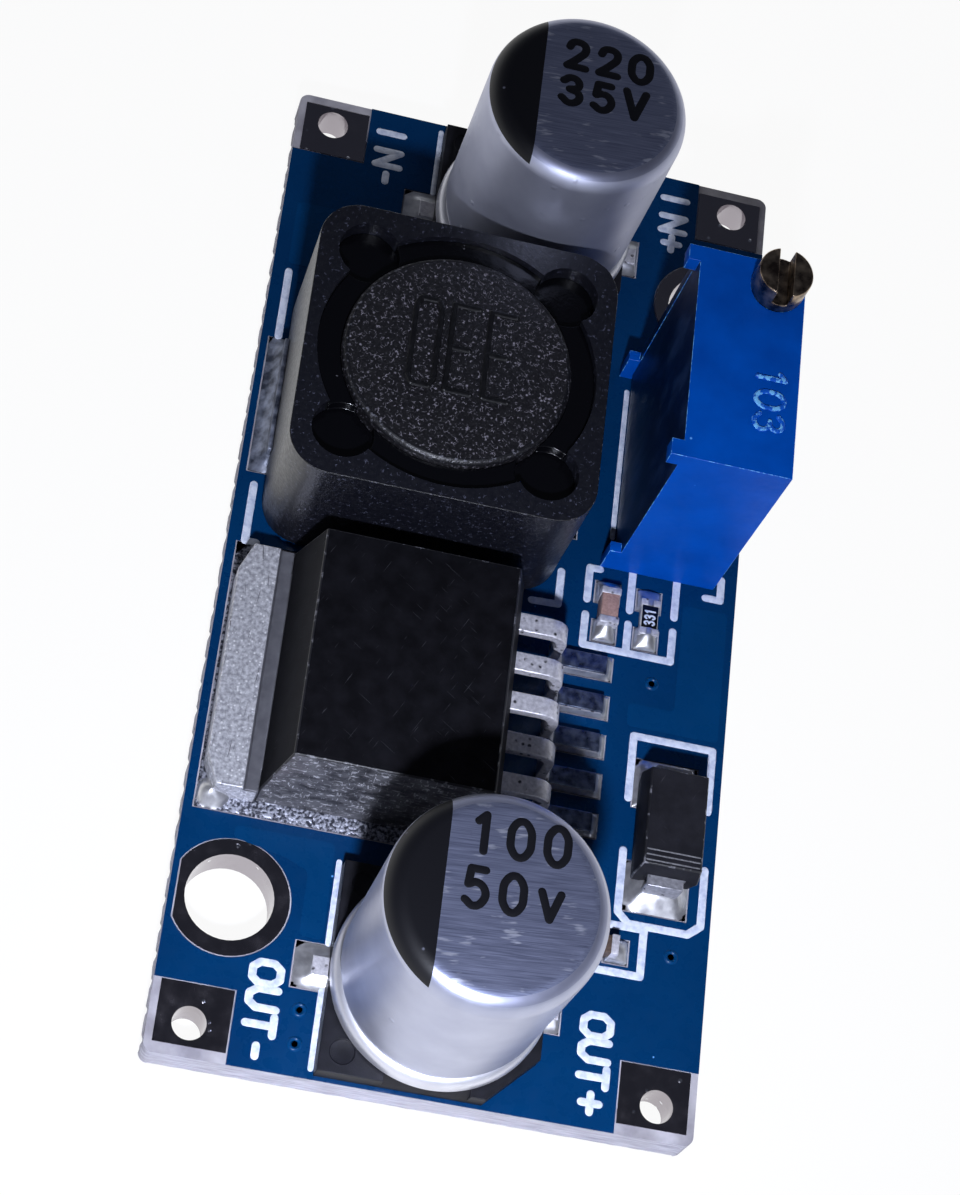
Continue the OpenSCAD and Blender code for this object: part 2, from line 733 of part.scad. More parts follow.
module diode_lead_set() {
    for (s = [0, 180]) rotate(s) translate([-diode_lead_w / 2, 0, 0]) rotate([90, 0, 90])
        linear_extrude(diode_lead_w) {
            translate([diode_span / 2 - diode_foot, 0]) square([diode_foot, diode_lead_t]);
            translate([diode_span / 2 - diode_lead_t, 0])
                square([diode_lead_t, diode_part_z + diode_lead_t / 2]);
            translate([diode_l / 2 - diode_foot / 2, diode_part_z - diode_lead_t / 2])
                square([diode_span / 2 - diode_l / 2 + diode_foot / 2, diode_lead_t]);
        }
}

module diode_profile(width) {
    half = width / 2;
    in = half - diode_lean;
    polygon([[-in, diode_lift], [in, diode_lift], [half, diode_part_z],
        [in, diode_h], [-in, diode_h], [-half, diode_part_z]]);
}

module diode_body() {
    color("#18181b") at_diode() difference() {
        intersection() {
            translate([0, diode_l, 0]) rotate([90, 0, 0])
                linear_extrude(2 * diode_l) diode_profile(diode_w);
            translate([-diode_w, 0, 0]) rotate([90, 0, 90])
                linear_extrude(2 * diode_w) diode_profile(diode_l);
        }
        diode_lead_set();
    }
}

module diode_leads() color("#cdcfd0") at_diode() diode_lead_set();

// Chip parts, drawn with their length along X

module chip_core(h)
    translate([0, 0, h / 2])
        cube([chip_l - 2 * chip_end_t, chip_w - 2 * chip_end_t, h - 2 * chip_end_t], center = true);

module chip_ends(h) {
    difference() {
        for (s = [-1, 1]) translate([s * (chip_l - chip_end_l) / 2, 0, h / 2])
            cube([chip_end_l, chip_w, h], center = true);
        chip_core(h);
    }
}

module at_chip_cap() translate([chip_cap_x, chip_y, board_t]) rotate(90) children();
module at_chip_res() translate([chip_res_x, chip_y, board_t]) rotate(90) children();
module at_side_chip() translate([side_chip_x, side_chip_y, board_t]) children();

module chip_capacitor_body() color("#a9825f") at_chip_cap() chip_core(chip_cap_h);
module chip_capacitor_ends() color("#c9cacc") at_chip_cap() chip_ends(chip_cap_h);
module side_capacitor_body() color("#a9825f") at_side_chip() chip_core(chip_cap_h);
module side_capacitor_ends() color("#c9cacc") at_side_chip() chip_ends(chip_cap_h);
module chip_resistor_body() color("#e8e6df") at_chip_res() chip_core(chip_res_h);
module chip_resistor_ends() color("#c9cacc") at_chip_res() chip_ends(chip_res_h);

module chip_resistor_glaze() {
    color("#101012") at_chip_res() translate([0, 0, chip_res_h - chip_end_t + chip_glaze_t / 2])
        cube([chip_l - 2 * chip_end_l, chip_w - 2 * chip_end_t, chip_glaze_t], center = true);
}

// Trimmer

module screw_axis(z) translate([screw_x, screw_y, z]) children();

module box_between(low, high) translate(low) cube(high - low);

module trimmer_housing() {
    color("#0d4fb0") difference() {
        union() {
            box_between([trim_x0, trim_y0, trim_z0], [trim_x1, trim_y1, trim_z1]);
            for (y = [trim_y0, trim_y1 - nub_l]) {
                translate([trim_x0 - nub_out, y, trim_z0])
                    cube([2 * nub_out, nub_l, nub_foot_h]);
                translate([trim_x0 - nub_out, y, trim_z1 - nub_top_h])
                    cube([2 * nub_out, nub_l, nub_top_h]);
            }
        }
        box_between([trim_x0 - 2 * nub_out, cavity_y0, cavity_z0], [cavity_x1, cavity_y1, cavity_z1]);
        box_between([trim_x0 - 2 * nub_out, cavity_y0, trim_z0 - 1], [element_x, cavity_y1, cavity_z1]);
        screw_axis(seal_z) cylinder(d = seal_bore_d, h = trim_top);
        screw_axis(cavity_z1 - 1) cylinder(d = screw_d + 2 * screw_clear, h = trim_top + 1);
    }
}

module trimmer_pin_set() {
    for (y = pin_places)
        translate([pin_x, y, -pin_tail]) cylinder(d = pin_d, h = pin_tail + trim_z0 + pin_root);
}

module trimmer_resin() {
    color("#101116") difference() {
        box_between([resin_x, cavity_y0, trim_z0 + trim_floor / 2], [element_x, cavity_y1, cavity_z1]);
        trimmer_pin_set();
    }
}

module trimmer_element() {
    color("#e9e7e0") box_between([element_x, cavity_y0, cavity_z0], [cavity_x0, cavity_y1, cavity_z1]);
}

module trimmer_pins() color("#cfd1d2") trimmer_pin_set();

module trimmer_seal() {
    color("#26262a") screw_axis(seal_z + seal_t / 2) rotate_extrude()
        translate([(screw_d + seal_t) / 2 + screw_clear, 0]) circle(d = seal_t);
}

module trimmer_screw() {
    color("#a98544") difference() {
        union() {
            screw_axis(shoulder_z) cylinder(d = screw_head_d, h = trim_z1 + screw_head_h - shoulder_z);
            screw_axis(cavity_z0 + screw_clear) cylinder(d = screw_d, h = shoulder_z - cavity_z0);
        }
        screw_axis(plate_z - screw_clear) difference() {
            cylinder(d = 2 * screw_d, h = clip_plate_t + 2 * screw_clear);
            translate([0, 0, -1]) cylinder(d = neck_d, h = clip_plate_t + 2);
        }
        screw_axis(trim_z1 + screw_head_h - slot_d / 2)
            cube([slot_w, 2 * screw_head_d, slot_d + 0.001], center = true);
    }
}

// Flat clip under the housing's top, open on one side so that it slips over the neck
module trimmer_clip() {
    gap = neck_d + 2 * screw_clear;
    color("#b9bbbd") difference() {
        box_between([cavity_x0 + carriage_clear, screw_y - clip_reach, plate_z],
            [cavity_x1, cavity_y1, cavity_z1]);
        screw_axis(plate_z - 1) cylinder(d = gap, h = clip_plate_t + 2);
        translate([screw_x - gap / 2, screw_y - 2 * clip_reach, plate_z - 1])
            cube([gap, 2 * clip_reach, clip_plate_t + 2]);
    }
}

// The carriage rides on one side of the screw's thread with a half nut
module trimmer_carriage() {
    nose = screw_d / 2 + 2 * carriage_clear;
    color("#e6e2d6") difference() {
        union() {
            box_between([carriage_x0, cavity_y1 - carriage_clear - carriage_l, carriage_z],
                [cavity_x1 - carriage_clear, screw_y - nose, carriage_z + carriage_h]);
            box_between([carriage_x0, screw_y - nose - 1, carriage_z],
                [screw_x, cavity_y1 - carriage_clear, carriage_z + carriage_h]);
        }
        screw_axis(0) cylinder(d = screw_d + 2 * screw_clear, h = 2 * trim_z1);
    }
}

// Spring strip on the carriage's face, with two fingers that reach the element
module trimmer_wiper() {
    w = carriage_l / 2;
    y0 = cavity_y1 - carriage_clear - carriage_l;
    color("#d0a860") {
        translate([carriage_x0 - wiper_t, y0, carriage_z]) cube([wiper_t, w, carriage_h]);
        for (y = [y0, y0 + w - 2 * wiper_t])
            box_between([cavity_x0 + screw_clear, y, carriage_z + carriage_h / 2],
                [carriage_x0 - wiper_t, y + 2 * wiper_t, carriage_z + carriage_h / 2 + wiper_t]);
    }
}

// Solder

// Concave fillet of a length and height, along a straight foot of a width, drawn
// with the foot's end at X 0 and the fillet on its +X side
module fillet(length, height, width) {
    translate([0, width / 2, 0]) rotate([90, 0, 0]) linear_extrude(width)
        polygon(concat([[0, 0]],
            [for (t = [0:15:90]) [length * (1 - sin(t)), height * (1 - cos(t))]]));
}

module cap_lead_solder() {
    climb = cap_lead_t * fillet_climb;
    side_l = (cap_land_w - cap_lead_w) / 2 - land_margin;
    bare_l = cap_lead_out - land_margin;
    translate([-cap_foot_x, 0, 0]) rotate(180) fillet(cap_toe_neg - land_margin, climb, cap_lead_w);
    for (s = [-1, 1])
        translate([cap_foot_x - bare_l / 2, s * cap_lead_w / 2, 0]) rotate(s * 90)
            fillet(side_l, climb, bare_l);
}

module capacitor_solder() {
    color("#d7d9db") {
        at_input_cap() cap_lead_solder();
        at_output_cap() cap_lead_solder();
    }
}

module inductor_solder() {
    color("#d7d9db") at_inductor(0) for (s = [0, 180])
        rotate(s) translate([inductor_w / 2 + clip_t, 0, 0])
            fillet(fillet_l, clip_lip * fillet_climb, clip_w);
}

module converter_solder() {
    color("#d7d9db") {
        at_converter() for (s = [-1, 1])
            translate([(tab_chamfer_x - tab_l) / 2, s * tab_w / 2, 0]) rotate(s * 90)
                fillet(fillet_l, tab_t * fillet_climb, tab_l - tab_chamfer_x);
        for (i = [-2:2])
            translate([toe_x, ic_y + i * lead_pitch, board_t])
                fillet(fillet_l / 2, lead_t * fillet_climb, lead_w);
    }
}

module diode_solder() {
    color("#d7d9db") at_diode() for (s = [-1, 1])
        translate([0, s * diode_span / 2, 0]) rotate(s * 90)
            fillet(fillet_l, diode_part_z * fillet_climb, diode_lead_w);
}

module chip_end_solder(h) {
    for (s = [0, 180]) rotate(s) translate([chip_l / 2, 0, 0]) fillet(fillet_l, h * fillet_climb, chip_w);
}

module chip_solder() {
    color("#d7d9db") {
        at_chip_cap() chip_end_solder(chip_cap_h);
        at_side_chip() chip_end_solder(chip_cap_h);
        at_chip_res() chip_end_solder(chip_res_h);
    }
}

module trimmer_solder() {
    color("#d7d9db") difference() {
        for (y = pin_places) translate([pin_x, y, 0]) {
            cylinder(d = pin_d + 2 * pin_clear, h = board_t);
            translate([0, 0, -cone_h])
                cylinder(d1 = pin_d + pin_clear, d2 = pin_d + 2 * (pin_clear + pin_ring), h = cone_h);
        }
        trimmer_pin_set();
    }
}

board_laminate();
solder_mask_top();
solder_mask_bottom();
component_lands();
mounting_ring_upper();
mounting_ring_lower();
terminal_in_plus();
terminal_in_minus();
terminal_out_plus();
terminal_out_minus();
input_cap_can();
input_cap_base();
input_cap_leads();
output_cap_can();
output_cap_base();
output_cap_leads();
inductor_shield();
inductor_drum();
inductor_winding();
inductor_filler();
inductor_clips();
converter_body();
converter_tab();
converter_leads();
diode_body();
diode_leads();
chip_capacitor_body();
chip_capacitor_ends();
side_capacitor_body();
side_capacitor_ends();
chip_resistor_body();
chip_resistor_glaze();
chip_resistor_ends();
trimmer_housing();
trimmer_resin();
trimmer_element();
trimmer_pins();
trimmer_seal();
trimmer_screw();
trimmer_clip();
trimmer_carriage();
trimmer_wiper();
capacitor_solder();
inductor_solder();
converter_solder();
diode_solder();
chip_solder();
trimmer_solder();
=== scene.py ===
"""Finishes, print, solder and studio of the boost converter module, around its packed board."""

import math

import bmesh
import bpy
from mathutils import Matrix, Vector, noise


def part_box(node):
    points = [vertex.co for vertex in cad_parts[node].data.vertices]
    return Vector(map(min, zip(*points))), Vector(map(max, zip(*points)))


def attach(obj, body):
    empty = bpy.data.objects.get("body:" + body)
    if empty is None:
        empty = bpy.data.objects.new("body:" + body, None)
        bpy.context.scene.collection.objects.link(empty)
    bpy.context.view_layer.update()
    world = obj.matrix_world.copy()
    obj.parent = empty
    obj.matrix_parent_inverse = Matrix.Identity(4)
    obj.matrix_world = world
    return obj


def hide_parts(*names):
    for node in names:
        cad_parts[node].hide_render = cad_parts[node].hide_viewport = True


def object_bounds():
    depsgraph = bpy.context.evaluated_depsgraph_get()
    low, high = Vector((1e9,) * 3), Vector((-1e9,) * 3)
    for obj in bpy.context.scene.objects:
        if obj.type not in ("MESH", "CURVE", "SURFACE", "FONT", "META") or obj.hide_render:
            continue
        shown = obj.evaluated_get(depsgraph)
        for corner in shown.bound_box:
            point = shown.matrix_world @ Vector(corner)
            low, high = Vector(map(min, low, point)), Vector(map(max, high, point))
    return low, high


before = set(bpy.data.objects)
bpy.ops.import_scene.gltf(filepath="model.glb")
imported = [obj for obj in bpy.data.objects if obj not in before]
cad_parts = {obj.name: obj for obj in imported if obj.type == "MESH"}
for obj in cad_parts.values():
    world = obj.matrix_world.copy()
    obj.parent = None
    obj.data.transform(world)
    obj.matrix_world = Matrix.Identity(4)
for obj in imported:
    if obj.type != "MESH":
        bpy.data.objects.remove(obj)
cad_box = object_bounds()

MM = 0.001
MERGE = 1e-6
CUT_TOLERANCE = 1e-8
SHARP = math.radians(30)
SHADED_SHARP = math.radians(42)
FLAT = math.radians(0.5)
BOARD_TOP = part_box("solder_mask_top")[1].z
BOARD_LOW, BOARD_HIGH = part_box("board_laminate")


def linear(level):
    """A colour's level as a screen shows it, 0 to 255, as the linear value that a shader takes."""
    share = level / 255
    return share / 12.92 if share <= 0.04045 else ((share + 0.055) / 1.055) ** 2.4


# Finishes

class Finish:
    """A material: one principled shader, with textures laid out by the piece's own place.

    Colours are given as a screen shows them, and sizes and depths in metres.
    """

    def __init__(self, name, roughness=0.5, metallic=0.0, specular=0.5):
        self.material = bpy.data.materials.new(name)
        self.material.use_nodes = True
        self.tree = self.material.node_tree
        self.shader = self.tree.nodes["Principled BSDF"]
        self.place = self.node("TexCoord").outputs["Object"]
        self.relief = None
        self.set("Roughness", roughness)
        self.set("Metallic", metallic)
        self.set("Specular IOR Level", specular)

    def feed(self, socket, value):
        if isinstance(value, bpy.types.NodeSocket):
            self.tree.links.new(value, socket)
        elif socket.type == "RGBA":
            socket.default_value = (*map(linear, value), 1.0)
        else:
            socket.default_value = value

    def set(self, socket, value):
        self.feed(self.shader.inputs[socket], value)

    def paint(self, colour):
        self.set("Base Color", colour)

    def node(self, kind, feeds=None, **settings):
        made = self.tree.nodes.new("ShaderNode" + kind)
        for key, value in settings.items():
            setattr(made, key, value)
        for key, value in (feeds or {}).items():
            self.feed(made.inputs[key], value)
        return made

    def laid(self, size, stretch, turn):
        """The piece's place, counted in lumps of a size that are drawn out along each axis."""
        turned = self.node("Mapping", {"Vector": self.place, "Rotation": (0, 0, math.radians(turn))})
        scale = tuple(1 / (size * s) for s in stretch)
        return self.node("Mapping", {"Vector": turned.outputs[0], "Scale": scale}).outputs[0]

    def grain(self, size, detail=3.0, stretch=(1, 1, 1), turn=0):
        """Cloudy noise, 0 to 1, with lumps about that size."""
        feeds = {"Vector": self.laid(size, stretch, turn), "Scale": 1.0, "Detail": detail}
        return self.node("TexNoise", feeds).outputs[0]

    def between(self, value, low, high, start=0.0, end=1.0):
        """The value stretched so that low gives start and high gives end, and no further."""
        feeds = {"Value": value, "From Min": low, "From Max": high, "To Min": start, "To Max": end}
        return self.node("MapRange", feeds).outputs[0]

    def calc(self, operation, a, b):
        made = self.node("Math", operation=operation)
        self.feed(made.inputs[0], a)
        self.feed(made.inputs[1], b)
        return made.outputs[0]

    def both(self, a, b):
        return self.calc("MULTIPLY", a, b)

    def either(self, a, b):
        return self.calc("MAXIMUM", a, b)

    def specks(self, size, share, width):
        """Round specks in a share of the cells of that size."""
        cell = self.node("TexVoronoi", {"Vector": self.laid(size, (1, 1, 1), 0), "Scale": 1.0})
        chance = self.node("SeparateColor", {"Color": cell.outputs["Color"]}).outputs[0]
        kept = self.between(chance, 1 - share, 1 - share + 0.02)
        return self.both(kept, self.between(cell.outputs["Distance"], width, width / 2))

    def worms(self, size, share):
        """Short winding lines, over a share of the surface."""
        level = self.calc("ABSOLUTE", self.calc("SUBTRACT", self.grain(size, 1.0), 0.5), 0.0)
        lines = self.between(level, 0.035, 0.012)
        return self.both(lines, self.between(self.grain(1.3 * size, 2.0), 0.62 - share / 2, 0.68 - share / 2))

    def scratches(self, size, length, turn, cover):
        """Fine scratches that run along one way across the top."""
        lines = self.grain(size, 2.0, (length / size, 1, length / size), turn)
        return self.between(lines, cover, cover + 0.04)

    def mix(self, share, a, b):
        made = self.node("Mix", data_type="RGBA")
        for index, value in ((0, share), (6, a), (7, b)):
            self.feed(made.inputs[index], value)
        return made.outputs[2]

    def blend(self, value, low, high, a, b):
        """One colour up to the low value and the other from the high one, mixed in between."""
        return self.mix(self.between(value, low, high), a, b)

    def raised(self, height, depth):
        """Relief of that depth, on top of the relief that is there."""
        made = self.node("Bump", {"Height": height, "Distance": depth})
        if self.relief:
            self.feed(made.inputs["Normal"], self.relief)
        self.relief = made.outputs[0]
        self.set("Normal", self.relief)

    def clouded(self, size, detail, low, high, a, b, depth):
        """One grain that blends two colours and stands out by a depth."""
        lumps = self.grain(size, detail)
        self.paint(self.blend(lumps, low, high, a, b))
        self.raised(lumps, depth)
        return lumps


def laminate_finish():
    """Sawn glass-fibre laminate: pale, with its plies showing as lines along the cut."""
    made = Finish("laminate", 0.8)
    plies = made.grain(0.09 * MM, 4.0, (14, 14, 1))
    cloud = made.grain(1.4 * MM)
    shade = made.blend(plies, 0.35, 0.65, (132, 129, 138), (184, 181, 188))
    made.paint(made.mix(made.between(cloud, 0.3, 0.75, 0, 0.5), shade, (156, 151, 150)))
    made.raised(plies, 0.03 * MM)
    return made


def solder_mask_finish(name, dark, light):
    """Blue solder mask: glossy, a little uneven, with a few specks of dust."""
    made = Finish(name, specular=0.2)
    dust = made.specks(1.1 * MM, 0.16, 0.05)
    blue = made.blend(made.grain(4 * MM), 0.3, 0.7, dark, light)
    made.paint(made.mix(dust, blue, (96, 158, 220)))
    made.set("Roughness", made.between(made.grain(0.5 * MM), 0.3, 0.7, 0.22, 0.36))
    made.raised(made.grain(0.35 * MM, 1.0), 0.004 * MM)
    return made


def tin_finish():
    """Tinned copper: nearly a mirror, with pits and specks."""
    made = Finish("tin", metallic=1.0)
    pits = made.specks(0.45 * MM, 0.3, 0.22)
    cloud = made.grain(0.6 * MM, 4.0)
    made.set("Roughness", made.between(cloud, 0.3, 0.75, 0.08, 0.28))
    made.paint(made.mix(pits, (166, 160, 166), (240, 240, 244)))
    made.raised(made.either(pits, made.between(cloud, 0.55, 0.9, 0, 0.4)), 0.02 * MM)
    return made


def lead_finish(name, dark, light, metallic):
    """Plated leads: satin tin with a few dark tool marks."""
    made = Finish(name, metallic=metallic)
    cloud = made.grain(0.16 * MM, 4.0)
    marks = made.specks(0.26 * MM, 0.34, 0.38)
    plate = made.blend(cloud, 0.3, 0.7, dark, light)
    made.paint(made.mix(made.both(marks, made.between(cloud, 0.4, 0.5)), plate, (48, 46, 52)))
    made.set("Roughness", made.between(cloud, 0.3, 0.7, 0.32, 0.5))
    made.raised(cloud, 0.005 * MM)
    return made


def tab_finish():
    """Heat tab: tin with a coarse grain, bright specks painted in as glints, and long scratches."""
    made = Finish("tab_tin", 0.46, 0.4)
    grain = made.grain(0.16 * MM, 4.0)
    painted_tab_glints = made.specks(0.14 * MM, 0.3, 0.4)
    cuts = made.either(
        made.scratches(0.05 * MM, 1.6 * MM, 96, 0.68),
        made.scratches(0.07 * MM, 2.2 * MM, 84, 0.7))
    plate = made.blend(grain, 0.35, 0.65, (156, 156, 163), (216, 216, 221))
    rubbed = made.mix(cuts, plate, (84, 82, 88))
    made.paint(made.mix(painted_tab_glints, rubbed, (240, 240, 243)))
    made.raised(grain, 0.02 * MM)
    return made


def can_side_finish(name, dark, light, roughness, spots):
    """Drawn aluminium: pale satin with a faint cloud, and small raised spots on a share of it."""
    made = Finish(name, metallic=0.85)
    cloud = made.grain(1.4 * MM, 4.0)
    made.paint(made.blend(cloud, 0.3, 0.7, dark, light))
    satin = made.between(made.grain(0.5 * MM, 4.0), 0.3, 0.7, roughness - 0.02, roughness + 0.02)
    made.set("Roughness", satin)
    made.raised(made.grain(0.4 * MM, 2.0), 0.002 * MM)
    made.raised(made.specks(0.8 * MM, spots, 0.2), 0.02 * MM)
    return made


def can_top_finish():
    """The can's top: aluminium brushed along one way, with brighter scuffs."""
    made = Finish("can_top", metallic=0.8)
    brush = made.grain(0.035 * MM, 3.0, (40, 1, 1), -4)
    scuff = made.both(made.grain(0.14 * MM, 3.0, (6, 1, 1), -8), made.grain(1.1 * MM, 1.0))
    metal = made.blend(brush, 0.3, 0.7, (110, 116, 142), (142, 148, 174))
    made.paint(made.mix(made.between(scuff, 0.34, 0.42, 0, 0.7), metal, (206, 209, 224)))
    made.set("Roughness", made.between(brush, 0.3, 0.7, 0.38, 0.5))
    made.raised(brush, 0.0018 * MM)
    made.raised(made.specks(0.7 * MM, 0.3, 0.3), 0.004 * MM)
    return made


def can_ink_finish():
    """Black ink on the can's top, thin enough to show the brushing."""
    made = Finish("can_ink", 0.45, specular=0.35)
    made.paint(made.mix(made.specks(0.5 * MM, 0.1, 0.14), (9, 9, 14), (80, 82, 94)))
    made.raised(made.grain(0.05 * MM, 3.0, (30, 1, 1), -4), 0.002 * MM)
    return made


def base_finish():
    """Moulded base plate: dull charcoal plastic."""
    made = Finish("base_plastic", 0.5, specular=0.25)
    cloud = made.grain(0.5 * MM, 4.0)
    made.paint(made.blend(cloud, 0.3, 0.7, (14, 14, 19), (25, 25, 31)))
    made.raised(made.grain(0.09 * MM), 0.006 * MM)
    return made


def ferrite_finish(name, dark, light, share, size, depth):
    """Pressed ferrite: black, with a coarse grain, and bright specks and short lines painted into its colour
    as glints.
    """
    made = Finish(name, specular=0.8)
    grain = made.grain(size, 4.0)
    painted_ferrite_glints = made.either(made.specks(size, share / 4, 0.42), made.worms(size, share))
    made.paint(made.mix(painted_ferrite_glints, dark, light))
    made.set("Roughness", made.between(grain, 0.3, 0.7, 0.3, 0.46))
    made.raised(grain, depth)
    return made


def worn_highlit_finish(name, dark, light, size, cover):
    """An edge that has been knocked: bright chips on the piece's own colour, which also paint a highlight
    along the edge.
    """
    made = Finish(name, 0.45)
    made.clouded(size, 4.0, cover, cover + 0.08, dark, light, 0.02 * MM)
    return made


def resin_finish():
    """Black casting resin: wet gloss with a few trapped specks."""
    made = Finish("resin", 0.18, specular=0.4)
    specks = made.specks(0.6 * MM, 0.14, 0.1)
    made.paint(made.mix(specks, (6, 6, 9), (120, 120, 126)))
    made.raised(made.grain(0.9 * MM), 0.03 * MM)
    return made


def mould_finish(name, dark, light):
    """Moulded epoxy: matt black, with hairline scratches."""
    made = Finish(name, 0.55, specular=0.06)
    cloud = made.grain(0.7 * MM, 5.0)
    hairs = made.either(
        made.scratches(0.04 * MM, 1.4 * MM, 35, 0.72),
        made.scratches(0.05 * MM, 1.1 * MM, 118, 0.72))
    black = made.blend(cloud, 0.35, 0.7, dark, light)
    made.paint(made.mix(hairs, black, (54, 54, 58)))
    made.raised(made.grain(0.06 * MM), 0.004 * MM)
    return made


def scuffed_sheen_mould_finish():
    """Epoxy and metal rubbed grey, crossed by pale scratches; the grey is also a painted sheen."""
    made = Finish("scuffed_mould_painted_sheen", 0.5)
    rub = made.grain(0.5 * MM, 5.0, (1.6, 1, 0.8))
    marks = made.either(
        made.between(made.grain(0.1 * MM, 3.0, (3, 1, 1)), 0.58, 0.66),
        made.between(made.grain(0.09 * MM, 3.0, (1, 1, 3)), 0.6, 0.68))
    grey = made.blend(rub, 0.38, 0.62, (38, 38, 42), (82, 82, 86))
    cuts = made.both(marks, made.between(rub, 0.36, 0.6))
    made.paint(made.mix(cuts, grey, (168, 168, 172)))
    made.raised(marks, 0.01 * MM)
    return made


def ceramic_finish(name, light, dark, roughness):
    """Fired ceramic with a fine grain."""
    made = Finish(name, roughness)
    made.paint(made.blend(made.grain(0.1 * MM), 0.35, 0.65, dark, light))
    made.raised(made.grain(0.05 * MM), 0.004 * MM)
    return made


def trimmer_blue_finish():
    """The trimmer's housing: bright blue moulded plastic, a little uneven."""
    made = Finish("trimmer_blue", specular=0.07)
    cloud = made.grain(1.6 * MM, 4.0)
    specks = made.specks(0.9 * MM, 0.1, 0.07)
    blue = made.blend(cloud, 0.3, 0.7, (0, 70, 164), (0, 81, 183))
    made.paint(made.mix(specks, blue, (90, 160, 235)))
    made.set("Roughness", made.between(made.grain(0.3 * MM), 0.3, 0.7, 0.34, 0.5))
    made.raised(made.grain(0.22 * MM), 0.006 * MM)
    return made


def trimmer_resin_finish():
    """Potting in the trimmer's open side: dark, with pale flow marks."""
    made = Finish("trimmer_potting", 0.35, specular=0.3)
    flow = made.grain(1.3 * MM, 4.0, (1, 1, 2))
    made.paint(made.blend(flow, 0.5, 0.75, (3, 23, 60), (42, 64, 106)))
    made.raised(flow, 0.04 * MM)
    return made


def brass_finish():
    """Machined brass, tarnished brown, bright where a tool has rubbed it."""
    made = Finish("brass", metallic=1.0)
    tarnish = made.grain(0.4 * MM, 4.0)
    made.paint(made.blend(tarnish, 0.35, 0.68, (96, 82, 72), (184, 164, 140)))
    made.set("Roughness", made.between(tarnish, 0.3, 0.7, 0.22, 0.42))
    made.raised(made.grain(0.05 * MM, 3.0, (1, 1, 4)), 0.003 * MM)
    return made


def silkscreen_finish():
    """Silkscreen ink: off-white, slightly worn."""
    made = Finish("silkscreen", 0.6)
    wear = made.grain(0.25 * MM, 4.0)
    made.paint(made.blend(wear, 0.3, 0.6, (174, 184, 208), (214, 220, 234)))
    made.raised(made.grain(0.06 * MM), 0.006 * MM)
    return made


def plain_part_finish(name, light, dark, roughness, metallic=0.0):
    """A small piece of one colour with a light grain."""
    made = Finish(name, roughness, metallic)
    made.paint(made.mix(made.grain(0.4 * MM), dark, light))
    made.raised(made.grain(0.08 * MM, 2.0), 0.004 * MM)
    return made


LAMINATE = laminate_finish()
SOLDER_MASK = solder_mask_finish("solder_mask", (0, 44, 85), (0, 50, 93))
MASK_ON_COPPER = solder_mask_finish("mask_on_copper", (0, 49, 91), (0, 56, 101))
VIA_HOLE_SHADE = solder_mask_finish("via_hole_painted_shade", (0, 18, 44), (0, 24, 54))
TIN = tin_finish()
LEAD = lead_finish("lead_tin", (184, 182, 190), (230, 228, 234), 0.45)
# A darker copy of the lead tin for the diode: painted shade for the dark reflection on its lead
DIODE_LEAD_SHADED = lead_finish("diode_lead_tin_painted_shade", (150, 150, 158), (196, 195, 202), 0.65)
TAB = tab_finish()
CAN_SIDE = can_side_finish("can_side", (174, 177, 196), (186, 189, 206), 0.38, 0.03)
SPOTTED_CAN = can_side_finish("spotted_can", (180, 183, 202), (192, 195, 212), 0.5, 0.3)
# The can's rim: a darker copy of the side's aluminium, painted shade that dims its reflection
CAN_RIM_PAINTED_SHADE = can_side_finish("can_rim_painted_shade", (150, 153, 174), (162, 165, 186), 0.42, 0.0)
# The can's bead: a lighter copy of the side's aluminium, a painted highlight band
CAN_BEAD_PAINTED_HIGHLIGHT = can_side_finish("can_bead_painted_highlight", (214, 214, 222), (226, 226, 232), 0.44, 0.0)
CAN_TOP = can_top_finish()
CAN_INK = can_ink_finish()
BASE = base_finish()
SHIELD = ferrite_finish("shield_ferrite", (15, 16, 24), (78, 80, 96), 0.09, 0.16 * MM, 0.016 * MM)
DRUM = ferrite_finish("drum_ferrite", (20, 19, 22), (138, 134, 144), 0.2, 0.15 * MM, 0.07 * MM)
# Darker ferrite for the drum's figures: painted shade
FIGURE_PAINTED_SHADE = ferrite_finish("figure_painted_shade_ferrite", (8, 8, 10), (30, 30, 34), 0.1, 0.2 * MM, 0.01 * MM)
# Lighter finishes for rounded edges: wear, and a painted highlight along the edge
WORN_HIGHLIT_FERRITE = worn_highlit_finish("worn_highlit_ferrite", (16, 16, 20), (96, 96, 104), 0.14 * MM, 0.58)
RESIN = resin_finish()
MOULD = mould_finish("mould", (12, 12, 15), (21, 21, 25))
# A lighter copy of the mould for the diode: painted sheen on its body
DIODE_MOULD_SHEEN = mould_finish("diode_mould_painted_sheen", (28, 28, 32), (36, 36, 41))
WORN_HIGHLIT_MOULD = worn_highlit_finish("worn_highlit_mould", (24, 24, 28), (104, 104, 110), 0.3 * MM, 0.56)
SCUFFED_SHEEN = scuffed_sheen_mould_finish()
DARKER_TAB_STRIP = plain_part_finish("darker_tab_strip", (120, 120, 126), (82, 82, 88), 0.5, 0.4)
CHIP_CERAMIC = ceramic_finish("chip_ceramic", (178, 144, 134), (152, 120, 112), 0.45)
